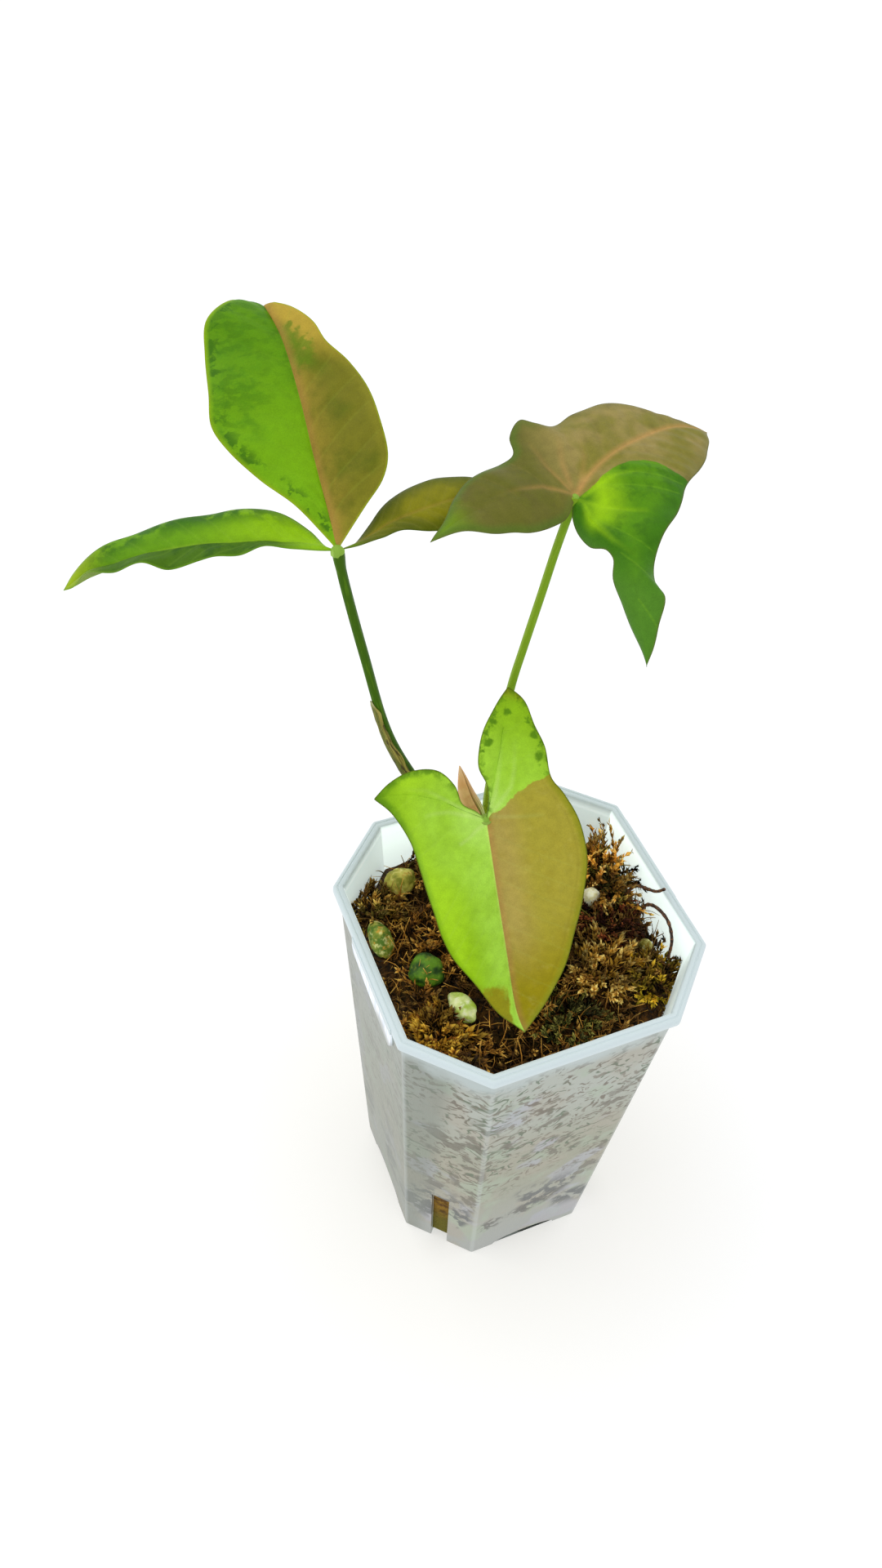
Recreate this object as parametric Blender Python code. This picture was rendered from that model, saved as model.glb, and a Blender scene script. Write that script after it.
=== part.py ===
"""Arrowhead plant with three leaves and a rolled new one, in a clear square nursery pot full of moss.

Sizes are in millimetres and are turned to metres when a mesh is made. The origin is the middle of the
pot's base, +Z is up, and the pot's sides face along X and Y.
"""

import math
import random

import bmesh
import bpy
import numpy as np
from mathutils import Vector

MM = 0.001
GAP = 0.3

# The pot: half widths across its flats, and how much each corner is cut back.
POT_HEIGHT = 110.0
BASE_HALF = 28.4
BASE_CUT = 13.5
NECK_HALF = 33.7
NECK_CUT = 13.9
RIM_HALF = 35.0
RIM_CUT = 14.4
RIM_DROP = 2.4
RIM_WIDTH = 2.4
WALL = 1.1
FLOOR = 1.2
CHANNEL_HALF = 9.0
CHANNEL_HEIGHT = 4.0
CHANNEL_LENGTH = 17.0
SLIT_WIDTH = 4.6
SLIT_HEIGHT = 31.0
TAB_NEAR = -16.5
TAB_FAR = 7.0
TAB_DROP_NEAR = 9.0
TAB_DROP_FAR = 5.5
TAB_THICK = 1.0

# The moss: its mean level, its mound and the pit that the stem and petioles stand in.
MOSS_LEVEL = 97.5
MOSS_MOUND = 4.0
MOSS_FOOT = 1.6
PIT_FLOOR = 97.5
STEM_X = -1.0
STEM_Y = 12.0
STEM_RADIUS = 2.4
STEM_FOOT = 66.0
STEM_TOP = 108.0
PIT_RADIUS = 7.0
STRAND_RADIUS = 0.5
BED_RINGS = 12
BED_PER_SIDE = 7
BED_SHOOTS = 60
GOLDEN_ANGLE = 2.399963

# Moss tufts: place on the bed, seat level, radius of the tuft, strands, their length, colour.
TUFTS = {
    "moss_rust": ((25.5, 8.5), 100.5, 5.5, 16, 12.0, (0.42, 0.16, 0.03)),
    "moss_red": ((21.5, -3.6), 99.5, 4.2, 12, 6.0, (0.20, 0.06, 0.02)),
    "moss_gold": ((15.5, -13.5), 98.8, 5.0, 14, 6.5, (0.45, 0.28, 0.08)),
    "moss_olive": ((25.5, -19.0), 98.0, 4.2, 12, 6.0, (0.33, 0.27, 0.06)),
    "moss_green": ((3.5, -23.0), 97.5, 4.6, 12, 6.0, (0.12, 0.19, 0.04)),
    "moss_amber": ((-24.5, -16.5), 98.0, 4.2, 12, 6.0, (0.45, 0.22, 0.03)),
    "moss_sage": ((-26.5, 19.0), 98.0, 4.0, 12, 6.0, (0.22, 0.20, 0.06)),
    "moss_tan": ((9.0, 25.0), 98.5, 5.0, 12, 6.5, (0.35, 0.22, 0.08)),
}

# Pumice lumps: centre, half sizes along X, Y and Z, turn about Z, colour.
LUMPS = {
    "lump_algae": ((-21.5, -1.5, 101.4), (3.7, 3.9, 3.4), 20, (0.03, 0.14, 0.02)),
    "lump_pale": ((-17.6, -12.2, 100.6), (4.4, 3.0, 2.8), -35, (0.55, 0.60, 0.35)),
    "lump_mottled": ((-27.6, 9.8, 100.4), (2.9, 4.6, 3.2), 0, (0.30, 0.33, 0.12)),
    "lump_green": ((-17.6, 23.2, 101.2), (3.9, 3.2, 3.0), 15, (0.28, 0.33, 0.10)),
    "lump_white": ((19.6, 3.6, 101.7), (1.4, 1.7, 2.0), 10, (0.75, 0.75, 0.68)),
    "lump_small": ((27.2, -11.6, 100.6), (1.4, 2.1, 2.0), 25, (0.60, 0.62, 0.48)),
}

# Where each petiole meets its blade.
FRONT_JOINT = (-7.9, 4.5, 140.0)
LEFT_JOINT = (-28.4, 32.0, 190.0)
RIGHT_JOINT = (17.0, 31.1, 192.0)
JOINT_RADIUS = 1.25
BLADE_THICK = 0.7
BLADE_CROWN = 0.07
CROWN_START = 12.0

# Each blade's outline, as offsets from its joint: right, back and up. A lobe's vein and both its
# edges run from the joint or the blade's tip to the lobe's tip.
FRONT_LEAF = {
    "rib": [(0, 0, 0), (-1.5, -10.5, -9), (-2.5, -20, -18.5), (-3, -27.5, -27), (-2, -30.5, -31.5)],
    "halves": [
        {
            "vein": [(0, 0, 0), (-3.5, 2, 1.5), (-8.5, 5, 3.5), (-14, 8, 4), (-19.5, 10.5, 2)],
            "inner": [
                (0, 0, 0), (-1.7, 1.4, 1.5), (-4, 2.7, 3), (-5, 5, 6.5), (-7.5, 8, 8.5), (-12, 10, 8),
                (-16.5, 11, 5), (-19.5, 10.5, 2),
            ],
            "outer": [
                (-19.5, 10.5, 2), (-17, 6.5, 1), (-15.5, 1, -2), (-15, -3.5, -6), (-14.5, -8.5, -11),
                (-14, -14, -15), (-12.5, -17.5, -19), (-10, -22, -22), (-7, -26.5, -26.5),
                (-4, -29, -29.5), (-2, -30.5, -31.5),
            ],
        },
        {
            "vein": [(0, 0, 0), (2.5, 3.5, 5.5), (5, 7, 11), (7, 10.5, 15.5), (9.5, 15, 19)],
            "inner": [
                (0, 0, 0), (0.2, 1.7, 3), (0, 3.6, 6), (-0.2, 5.5, 9), (1, 8, 12), (2.5, 10, 14.5),
                (5.5, 12.5, 16.5), (9.5, 15, 19),
            ],
            "outer": [
                (9.5, 15, 19), (11.5, 11.5, 18), (12, 7, 15.5), (13, 4, 12.5), (13, -0.5, 8),
                (14.5, -3.5, 6), (16, -8.5, 2.5), (16, -13.5, -3), (13.5, -18.5, -8),
                (10.5, -22.5, -13.5), (7, -26.5, -18.5), (3.5, -28.5, -23.5), (0, -30, -28.5),
                (-2, -30.5, -31.5),
            ],
        },
    ],
}
RIGHT_LEAF = {
    "rib": [(0, 0, 0), (4.5, 3.5, 1.5), (11, 7.5, 2), (19.5, 11.5, 1.5), (29, 15, 0), (38.5, 16.5, -3.5)],
    "halves": [
        {
            "vein": [(0, 0, 0), (-5.5, 0.5, 1.5), (-13.5, -0.5, 3), (-22, -2.5, 2.5), (-30.5, -5, 0.5)],
            "inner": [
                (0, 0, 0), (-3, -3.5, -1.5), (-7.5, -6, -1), (-12.5, -7.5, 0), (-15.5, -7, 0.5),
                (-20, -7.5, 1.5), (-25, -6, 2), (-30.5, -5, 0.5),
            ],
            "outer": [
                (-30.5, -5, 0.5), (-25.5, 0, 1.5), (-21, 5, 2), (-15.5, 8, 3), (-10.5, 10.5, 2.5),
                (-7.5, 12, 3), (-6.5, 16, 4), (-2.5, 20, 4.5), (-0.5, 18, 4.5), (3, 18, 3.5),
                (9, 21, 3), (16.5, 23, 2.5), (23.5, 22.5, 1.5), (30, 20.5, -0.5), (35.5, 18, -2.5),
                (38.5, 16.5, -3.5),
            ],
        },
        {
            "vein": [
                (0, 0, 0), (1, -4.5, -1.5), (2.5, -10.5, -2.5), (3.5, -16.5, -5), (4, -22, -10),
                (3.5, -28, -19),
            ],
            "inner": [
                (0, 0, 0), (-1, -1.5, -2.5), (-0.5, -3.5, -5.5), (0.5, -7, -6.5), (1.5, -11, -4.5),
                (1.5, -13.5, -4.5), (1, -15.5, -7.5), (2.5, -18.5, -11.5), (3.5, -23, -16),
                (3.5, -28, -19),
            ],
            "outer": [
                (3.5, -28, -19), (5, -27, -16), (6, -25.5, -11.5), (7.5, -23.5, -7.5), (8, -19, -7),
                (9, -16, -5.5), (12, -12.5, -3), (18, -7.5, -2), (23.5, -1, -1.5), (30, 4.5, -2.5),
                (35.5, 11.5, -3), (38.5, 16.5, -3.5),
            ],
        },
    ],
}
CENTRE_LEAFLET = {
    "rib": [
        (0, 0, 0), (0.5, 6.5, 3.5), (1, 15.5, 8.5), (1.5, 25, 15), (1.5, 35, 21), (1, 43.5, 22.5),
        (1.5, 48, 19.5), (2, 51, 13.5),
    ],
    "halves": [
        {
            "outer": [
                (0, 0, 0), (-1.5, 3, 1.5), (-5, 8, 5), (-9.5, 13.5, 7.5), (-13.5, 18.5, 11),
                (-15, 23.5, 13), (-14, 28, 16.5), (-12.5, 35.5, 20), (-11, 39.5, 23.5),
                (-7.5, 42.5, 24.5), (-4, 45.5, 24), (-3, 49, 19.5), (2, 51, 13.5),
            ],
        },
        {
            "outer": [
                (0, 0, 0), (2.5, 1.5, 2), (6.5, 4, 5), (10.5, 6, 8.5), (12.5, 9, 11), (13, 15, 15),
                (13, 21.5, 17.5), (11.5, 27, 19.5), (8.5, 30.5, 22), (7.5, 35, 23.5), (5, 40, 24),
                (2.5, 43, 23.5), (4.5, 47, 19), (2, 51, 13.5),
            ],
        },
    ],
}
LEFT_LEAFLET = {
    "rib": [
        (0, 0, 0), (-3.5, 2, 0.5), (-8.5, 5, 0), (-15.5, 8, -0.5), (-23.5, 11, -1.5), (-30, 13, -3),
        (-36.5, 14.5, -5), (-42, 15.5, -7), (-46, 15.5, -9),
    ],
    "halves": [
        {
            "outer": [
                (0, 0, 0), (-2.5, 0, 0.5), (-7.5, 1.5, 1), (-12, 3, 1.5), (-16.5, 4, 0), (-20.5, 5, 0),
                (-23.5, 6, -1), (-28.5, 7, -2.5), (-32.5, 8.5, -1), (-37, 10, -3), (-41.5, 13, -4.5),
                (-44, 13.5, -7), (-46, 15.5, -9),
            ],
        },
        {
            "outer": [
                (0, 0, 0), (-1.5, 1.5, 0), (-3, 6, 0.5), (-6.5, 12, 1), (-10.5, 15, 1), (-18, 17.5, -0.5),
                (-26.5, 19.5, -2), (-32.5, 20, -3.5), (-38.5, 19.5, -5), (-43.5, 18, -7.5),
                (-46, 15.5, -9),
            ],
        },
    ],
}
RIGHT_LEAFLET = {
    "rib": [(0, 0, 0), (4.5, 1, 0), (11.5, 4, 0.5), (20.5, 7, 0), (30, 9.5, -1.5), (40, 9, -5)],
    "halves": [
        {
            "outer": [
                (0, 0, 0), (3, 1, -0.5), (7.5, 5, 0), (13.5, 10, 1), (20.5, 13.5, 0.5), (28.5, 15, -0.5),
                (36, 13.5, -2.5), (40, 9, -5),
            ],
        },
        {
            "outer": [
                (0, 0, 0), (4, -0.5, 0.5), (8, 0, 1), (12.5, 1.5, 0.5), (18.5, 2, -1.5), (26, 3.5, -3.5),
                (33.5, 6, -5), (40, 9, -5),
            ],
        },
    ],
}

# Petioles, the rolled leaf and the wiry root: points in the plant's own space, then the radii.
LEFT_PETIOLE = [
    (-4.6, 15.0, 98.0), (-5.4, 15.6, 106), (-8.2, 17.2, 117), (-13.9, 21.4, 130.7), (-20.2, 26, 145.7),
    (-24.7, 29.2, 167.3), (-27.9, 31.6, 185.5), LEFT_JOINT,
]
RIGHT_PETIOLE = [
    (2.0, 15.2, 98.0), (1.2, 16.0, 110), (-0.4, 17.8, 126), (2.5, 22.4, 139), (6, 26.3, 152),
    (8.9, 28.3, 160.5), (12, 29.9, 171), (14.8, 31.3, 181), RIGHT_JOINT,
]
FRONT_PETIOLE = [(-1.6, 7.4, 98.0), (-2.4, 7.2, 108), (-4.4, 6.6, 122), (-6.6, 5.6, 133), FRONT_JOINT]
NEW_LEAF = [(-1.6, 12.4, 108.3), (-2.6, 13.2, 117), (-4.6, 14.6, 128), (-8, 13.8, 137), (-10.3, 13.5, 147)]
WIRY_ROOT = [
    (28.6, -4.2, 99.6), (29.6, -4.6, 105.4), (30.0, -7.8, 108.6), (30.4, -12.1, 109), (30.4, -15, 106),
    (29.6, -16.6, 101.4),
]
TWIG = [(27.2, 1.0, 100.6), (28.9, -0.4, 107.6), (31.0, -5.1, 110.6), (32.0, -6.4, 112.6)]
LEFT_RADII = (1.9, 0.95)
RIGHT_RADII = (1.7, 0.85)
FRONT_RADII = (1.7, 1.0)
NEW_LEAF_RADIUS = 1.35
SHEATH_GAP = 0.35
SHEATH_THICK = 0.6
SHEATH_SPAN = (0.16, 0.62)
ROOTS = 5
ROOT_LENGTH = 34.0
ROOT_RADIUS = 0.9
WIRY_RADIUS = 0.45


def clear_scene():
    for obj in list(bpy.data.objects):
        bpy.data.objects.remove(obj, do_unlink=True)


def material(name, colour, roughness):
    made = bpy.data.materials.new(name)
    made.use_nodes = True
    shader = made.node_tree.nodes["Principled BSDF"]
    shader.inputs["Base Color"].default_value = (*colour, 1.0)
    shader.inputs["Roughness"].default_value = roughness
    shader.inputs["Metallic"].default_value = 0.0
    return made


def mesh_object(name, points, faces, finish=None, place=(0, 0, 0)):
    """An object at a place in the plant's space, from points in millimetres about that place."""
    mesh = bpy.data.meshes.new(name)
    mesh.from_pydata([tuple(float(c) * MM for c in p) for p in points], [], [tuple(f) for f in faces])
    bm = bmesh.new()
    bm.from_mesh(mesh)
    bmesh.ops.recalc_face_normals(bm, faces=bm.faces)
    bm.to_mesh(mesh)
    bm.free()
    obj = bpy.data.objects.new(name, mesh)
    obj.location = Vector(place) * MM
    bpy.context.scene.collection.objects.link(obj)
    if finish:
        mesh.materials.append(finish)
    return obj


def smooth(obj, degrees):
    obj.data.shade_smooth()
    obj.data.set_sharp_from_angle(angle=math.radians(degrees))


def ball(name, radii, place, finish=None):
    bm = bmesh.new()
    bmesh.ops.create_icosphere(bm, subdivisions=2, radius=1.0)
    bmesh.ops.scale(bm, vec=[r * MM for r in radii], verts=bm.verts)
    mesh = bpy.data.meshes.new(name)
    bm.to_mesh(mesh)
    bm.free()
    obj = bpy.data.objects.new(name, mesh)
    obj.location = Vector(place) * MM
    bpy.context.scene.collection.objects.link(obj)
    if finish:
        mesh.materials.append(finish)
    return obj


def boolean(obj, others, operation):
    """Cuts or joins the other objects, then removes them."""
    group = bpy.data.collections.new(obj.name + "_" + operation.lower())
    bpy.context.scene.collection.children.link(group)
    for other in others:
        bpy.context.scene.collection.objects.unlink(other)
        group.objects.link(other)
    modifier = obj.modifiers.new(operation.title(), "BOOLEAN")
    modifier.operation = operation
    modifier.operand_type = "COLLECTION"
    modifier.collection = group
    modifier.solver = "EXACT"
    bpy.context.view_layer.update()
    graph = bpy.context.evaluated_depsgraph_get()
    made = bpy.data.meshes.new_from_object(obj.evaluated_get(graph))
    obj.modifiers.clear()
    old = obj.data
    obj.data = made
    bpy.data.meshes.remove(old)
    for other in list(others):
        bpy.data.objects.remove(other, do_unlink=True)
    bpy.data.collections.remove(group)


def octagon(half, cut, height):
    """The eight corners of a square whose corners are cut back, anticlockwise from above."""
    flat = half - cut
    corners = [
        (half, -flat), (half, flat), (flat, half), (-flat, half),
        (-half, flat), (-half, -flat), (-flat, -half), (flat, -half),
    ]
    return [(x, y, height) for x, y in corners]


def circle(radius, height, sides):
    angles = [2 * math.pi * k / sides for k in range(sides)]
    return [(radius * math.cos(a), radius * math.sin(a), height) for a in angles]


def loft(rings):
    """A closed solid through rings of equal count, with a face over the first and the last."""
    count = len(rings[0])
    points = [p for ring in rings for p in ring]
    faces = [tuple(reversed(range(count)))]
    for r in range(len(rings) - 1):
        a, b = r * count, (r + 1) * count
        for i in range(count):
            j = (i + 1) % count
            faces.append((a + i, a + j, b + j, b + i))
    last = (len(rings) - 1) * count
    faces.append(tuple(range(last, last + count)))
    return points, faces


def on_each_side(name, rings, turns):
    """One loft for each turn about the pot's axis."""
    made = []
    for turn in turns:
        obj = mesh_object(f"{name}_{turn}", *loft(rings))
        obj.rotation_euler.z = math.radians(turn)
        made.append(obj)
    return made


def inner_half(height):
    """Half width of the pot's inside at a height."""
    foot = BASE_HALF - WALL
    top = RIM_HALF - RIM_WIDTH
    return foot + (top - foot) * (height - FLOOR) / (POT_HEIGHT - FLOOR)


def inner_cut(height):
    """How much the inside's corners are cut back: a wall of even width takes 0.586 of it."""
    foot = BASE_CUT - 0.586 * WALL
    top = RIM_CUT - 0.586 * RIM_WIDTH
    return foot + (top - foot) * (height - FLOOR) / (POT_HEIGHT - FLOOR)


def channel(grow, foot, start):
    """Half an arch that runs in from the middle of the +X side and sinks to nothing."""
    rings = []
    for share in (0.0, 0.5, 0.85, 1.0):
        reach = start + (BASE_HALF - CHANNEL_LENGTH - grow - start) * share
        fall = math.sqrt(max(0.0, 1 - share * share))
        tall = CHANNEL_HEIGHT * max(fall, 0.08) + grow
        wide = CHANNEL_HALF * (0.55 + 0.45 * fall) + grow
        arch = [math.pi * i / 8 for i in range(1, 8)]
        ring = [(reach, -wide * math.cos(a), max(tall * math.sin(a) ** 0.8, foot)) for a in arch]
        rings.append([(reach, -wide, foot)] + ring + [(reach, wide, foot)])
    return rings


def drain_slits():
    """Boxes through the four cut corners, from below the base to the top of the slit."""
    reach = (2 * BASE_HALF - BASE_CUT) / math.sqrt(2)
    half = SLIT_WIDTH / 2
    inner, outer = reach - 4.0, reach + 8.0
    ring = [(inner, -half), (outer, -half), (outer, half), (inner, half)]
    rings = [[(x, y, height) for x, y in ring] for height in (-1.0, SLIT_HEIGHT)]
    return on_each_side("slit", rings, (45, 135, 225, 315))


def hand_tabs():
    """A skirt that hangs from the rim on -X, deeper at its near end, and its pair on +X."""
    outer = -RIM_HALF - 0.2
    top = POT_HEIGHT - 0.8
    near = POT_HEIGHT - TAB_DROP_NEAR
    far = POT_HEIGHT - TAB_DROP_FAR
    profile = [(TAB_NEAR, top), (TAB_NEAR, near), (TAB_FAR, far), (TAB_FAR, top)]
    rings = [[(x, y, z) for y, z in profile] for x in (outer, outer + TAB_THICK)]
    return on_each_side("tab", rings, (0, 180))


def pot():
    """The moulded pot, with its drain channels raised in the floor and cut from the foot."""
    rings = [
        octagon(BASE_HALF, BASE_CUT, 0.0),
        octagon(NECK_HALF, NECK_CUT, POT_HEIGHT - RIM_DROP - 0.5),
        octagon(RIM_HALF, RIM_CUT, POT_HEIGHT - RIM_DROP),
        octagon(RIM_HALF, RIM_CUT, POT_HEIGHT),
        octagon(RIM_HALF - RIM_WIDTH, inner_cut(POT_HEIGHT), POT_HEIGHT),
        octagon(inner_half(FLOOR), inner_cut(FLOOR), FLOOR),
    ]
    finish = material("milky_polypropylene", (0.72, 0.77, 0.80), 0.35)
    obj = mesh_object("pot", *loft(rings), finish)
    sides = (0, 90, 180, 270)
    humps = on_each_side("hump", channel(WALL, 0.4, BASE_HALF - 0.5 * WALL), sides)
    boolean(obj, humps + hand_tabs(), "UNION")
    voids = on_each_side("channel", channel(0.0, -1.0, BASE_HALF + 2.0), sides)
    boolean(obj, voids + drain_slits(), "DIFFERENCE")
    return obj


def smooth_curve(points, fractions):
    """A Catmull-Rom curve with centripetal knots through the points, read at shares of its length."""
    p = np.array(points, float)
    p = np.vstack([2 * p[0] - p[1], p, 2 * p[-1] - p[-2]])
    pieces = []
    for i in range(1, len(p) - 2):
        a, b, c, d = p[i - 1 : i + 3]
        spans = np.linalg.norm(np.diff(p[i - 1 : i + 3], axis=0), axis=1) ** 0.5
        ta, tb, tc, td = np.concatenate([[0], np.cumsum(spans)])
        t = np.linspace(tb, tc, 24, endpoint=False)[:, None]
        ab = ((tb - t) * a + (t - ta) * b) / (tb - ta)
        bc = ((tc - t) * b + (t - tb) * c) / (tc - tb)
        cd = ((td - t) * c + (t - tc) * d) / (td - tc)
        left = ((tc - t) * ab + (t - ta) * bc) / (tc - ta)
        right = ((td - t) * bc + (t - tb) * cd) / (td - tb)
        pieces.append(((tc - t) * left + (t - tb) * right) / (tc - tb))
    curve = np.vstack(pieces + [p[-2:-1]])
    run = np.concatenate([[0], np.cumsum(np.linalg.norm(np.diff(curve, axis=0), axis=1))])
    at = np.asarray(fractions) * run[-1]
    return np.stack([np.interp(at, run, curve[:, i]) for i in range(3)], axis=-1)


def tube(path, radius, sides, steps):
    """A closed tube of few sides along a smooth path, as wide as radius says at each share of it."""
    line = smooth_curve(path, np.linspace(0, 1, steps + 1))
    rings = []
    for i, centre in enumerate(line):
        ahead = Vector(line[min(i + 1, steps)] - line[max(i - 1, 0)]).normalized()
        across = ahead.cross(Vector((0.31, 0.92, 0.24))).normalized()
        over = ahead.cross(across).normalized()
        wide = radius(i / steps)
        angles = [2 * math.pi * k / sides for k in range(sides)]
        offsets = [across * (wide * math.cos(a)) + over * (wide * math.sin(a)) for a in angles]
        rings.append([tuple(Vector(centre) + offset) for offset in offsets])
    return loft(rings)


def stalk(name, path, radius, steps, finish):
    """A round stalk along a smooth path, as a curve with a radius at each of its points."""
    curve = bpy.data.curves.new(name, "CURVE")
    curve.dimensions = "3D"
    curve.bevel_depth = MM
    curve.bevel_resolution = 2
    curve.use_fill_caps = True
    spline = curve.splines.new("POLY")
    spline.points.add(steps)
    for i, point in enumerate(smooth_curve(path, np.linspace(0, 1, steps + 1))):
        spline.points[i].co = (*(float(c) * MM for c in point), 1.0)
        spline.points[i].radius = radius(i / steps)
    spline.use_smooth = True
    curve.materials.append(finish)
    obj = bpy.data.objects.new(name, curve)
    bpy.context.scene.collection.objects.link(obj)
    return obj


def bed_level(x, y):
    """Height of the moss: a mound with hummocks, levelled under each tuft and round the stem."""
    level = MOSS_LEVEL + MOSS_MOUND * np.exp(-(x * x + (y - 4) ** 2) / 420)
    level = level + 1.1 * np.sin(x / 3.9 + 1.3) * np.cos(y / 3.6 + 0.4) + 0.7 * np.sin(x / 2.2 + y / 2.9)
    level = level - 3.0 * np.exp(-((x + 8) ** 2 + (y + 24) ** 2) / 50)
    level = level + 2.5 * np.exp(-((x - 24) ** 2 + (y - 8) ** 2) / 90)
    seats = [(place, seat + 0.4, radius) for place, seat, radius, *_ in TUFTS.values()]
    seats.append(((STEM_X, STEM_Y), MOSS_LEVEL + 3.0, PIT_RADIUS))
    for (cx, cy), height, radius in seats:
        near = np.clip((radius + 5.0 - np.hypot(x - cx, y - cy)) / 3.0, 0.0, 1.0)
        share = near * near * (3 - 2 * near)
        level = level * (1 - share) + height * share
    return float(level)


def bed_ring(corners, share, height=None):
    """Points evenly along the eight sides, drawn in by a share, at one height or on the moss."""
    points = []
    for side in range(8):
        a, b = corners[side], corners[(side + 1) % 8]
        for step in range(BED_PER_SIDE):
            t = step / BED_PER_SIDE
            x = (a[0] + (b[0] - a[0]) * t) * share
            y = (a[1] + (b[1] - a[1]) * t) * share
            points.append((x, y, bed_level(x, y) if height is None else height))
    return points


def inside_pot(x, y, margin):
    """The point, drawn in towards the axis until it is clear of the wall by the margin."""
    half = inner_half(98.0) - margin
    reach = 2 * half - inner_cut(98.0)
    over = max(abs(x) / half, abs(y) / half, (abs(x) + abs(y)) / reach, 1.0)
    return x / over, y / over


def strand(name, rng, root, lean, heading, length):
    """One bent, tapering shoot of moss whose root is sunk in what it grows from."""
    out = Vector((math.cos(heading), math.sin(heading), 0.0))
    rise = Vector((0.0, 0.0, length * math.cos(lean)))
    reach = out * (length * math.sin(lean))
    start = Vector(root) - out * 0.6
    path = [start, start + reach * 0.5 + rise * rng.uniform(0.6, 0.75), start + reach + rise]
    return mesh_object(name, *tube(path, lambda t: STRAND_RADIUS * (1 - 0.45 * t), 3, 3))


def tuft(name, place, seat, radius, count, length, colour, seed):
    """A low dome of moss on its flat seat, with shoots that lean out of it."""
    rng = random.Random(seed)
    foot = seat + GAP
    rings = []
    for share, rise in ((1.0, 0.0), (0.96, 0.7), (0.72, 1.6), (0.36, 2.1)):
        ring = []
        for k in range(12):
            angle = 2 * math.pi * k / 12
            away = radius * share * (1 + 0.08 * math.sin(3 * angle + seed))
            x, y = place[0] + away * math.cos(angle), place[1] + away * math.sin(angle)
            ring.append((*inside_pot(x, y, 0.8), foot + rise))
        rings.append(ring)
    obj = mesh_object(name, *loft(rings), material(name + "_strands", colour, 0.9))
    shoots = []
    for i in range(count):
        angle = i * GOLDEN_ANGLE
        away = radius * 0.75 * math.sqrt((i + 0.5) / count)
        x, y = place[0] + away * math.cos(angle), place[1] + away * math.sin(angle)
        lean = 0.15 + 0.75 * away / radius
        tall = length * rng.uniform(0.65, 1.05)
        heading = angle + rng.uniform(-0.6, 0.6)
        tip_x = x + tall * math.sin(lean) * math.cos(heading)
        tip_y = y + tall * math.sin(lean) * math.sin(heading)
        tip_x, tip_y = inside_pot(tip_x, tip_y, 1.2)
        heading = math.atan2(tip_y - y, tip_x - x)
        lean = math.asin(min(0.95, math.hypot(tip_x - x, tip_y - y) / tall))
        x, y = inside_pot(x, y, 1.8)
        shoots.append(strand(f"{name}_{i}", rng, (x, y, foot + 0.8), lean, heading, tall))
    boolean(obj, shoots, "UNION")
    smooth(obj, 50)
    return obj


def lump(name, centre, radii, turn, seed, finish=None, grow=0.0):
    """A rough pebble: a ball whose points are pushed in and out by a few smooth waves."""
    obj = ball(name, [r + grow for r in radii], centre, finish)
    for vert in obj.data.vertices:
        x, y, z = (c / (r * MM) for c, r in zip(vert.co, radii))
        swell = 1 + 0.08 * math.sin(3.1 * x + seed) + 0.07 * math.sin(4.3 * y + 2 * seed) * math.cos(3.7 * z)
        vert.co = vert.co * swell
    obj.rotation_euler.z = math.radians(turn)
    smooth(obj, 60)
    return obj


def post(name, x, y, radius, foot, top):
    """A round cutter that stands on the moss."""
    return mesh_object(name, *loft([circle(radius, foot, 16), circle(radius, top, 16)]), None, (x, y, 0))


def roots(name, grow):
    """Tapered roots that spread down from the foot of the stem, or the room that they need."""
    made = []
    for i in range(ROOTS):
        angle = 2 * math.pi * i / ROOTS + 0.4
        out = Vector((math.cos(angle), math.sin(angle), 0.0))
        start = Vector((STEM_X, STEM_Y, STEM_FOOT + 3.0)) + out * 0.5
        middle = start + out * ROOT_LENGTH * 0.22 + Vector((0, 0, -ROOT_LENGTH * 0.42))
        end = start + out * ROOT_LENGTH * 0.3 + Vector((0, 0, -ROOT_LENGTH))
        path = [start, middle, end + (end - middle).normalized() * grow]
        points, faces = tube(path, lambda t: ROOT_RADIUS * (1 - 0.3 * t) + grow, 6, 4)
        made.append(mesh_object(f"{name}_{i}", points, faces))
    return made


def bed_shoots():
    """Short brown shoots over the bed, clear of the tufts, the lumps and the stem."""
    taken = [(place, radius) for place, _, radius, *_ in TUFTS.values()]
    taken += [((centre[0], centre[1]), radii[0]) for centre, radii, *_ in LUMPS.values()]
    taken.append(((STEM_X, STEM_Y), PIT_RADIUS))
    rng = random.Random(11)
    shoots = []
    for i in range(BED_SHOOTS):
        angle = i * GOLDEN_ANGLE
        away = 30.0 * math.sqrt((i + 0.5) / BED_SHOOTS)
        x, y = inside_pot(away * math.cos(angle), away * math.sin(angle), 4.0)
        if any(math.hypot(x - cx, y - cy) < radius + 3.2 for (cx, cy), radius in taken):
            continue
        heading = rng.uniform(0, 2 * math.pi)
        tip = (x + 3 * math.cos(heading), y + 3 * math.sin(heading))
        if inside_pot(*tip, 1.5) != tip:
            heading = math.atan2(-y, -x)
        root = (x, y, bed_level(x, y) - 1.0)
        lean, length = rng.uniform(0.3, 0.75), rng.uniform(3.6, 4.6)
        shoots.append(strand(f"shoot_{i}", rng, root, lean, heading, length))
    return shoots


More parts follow.
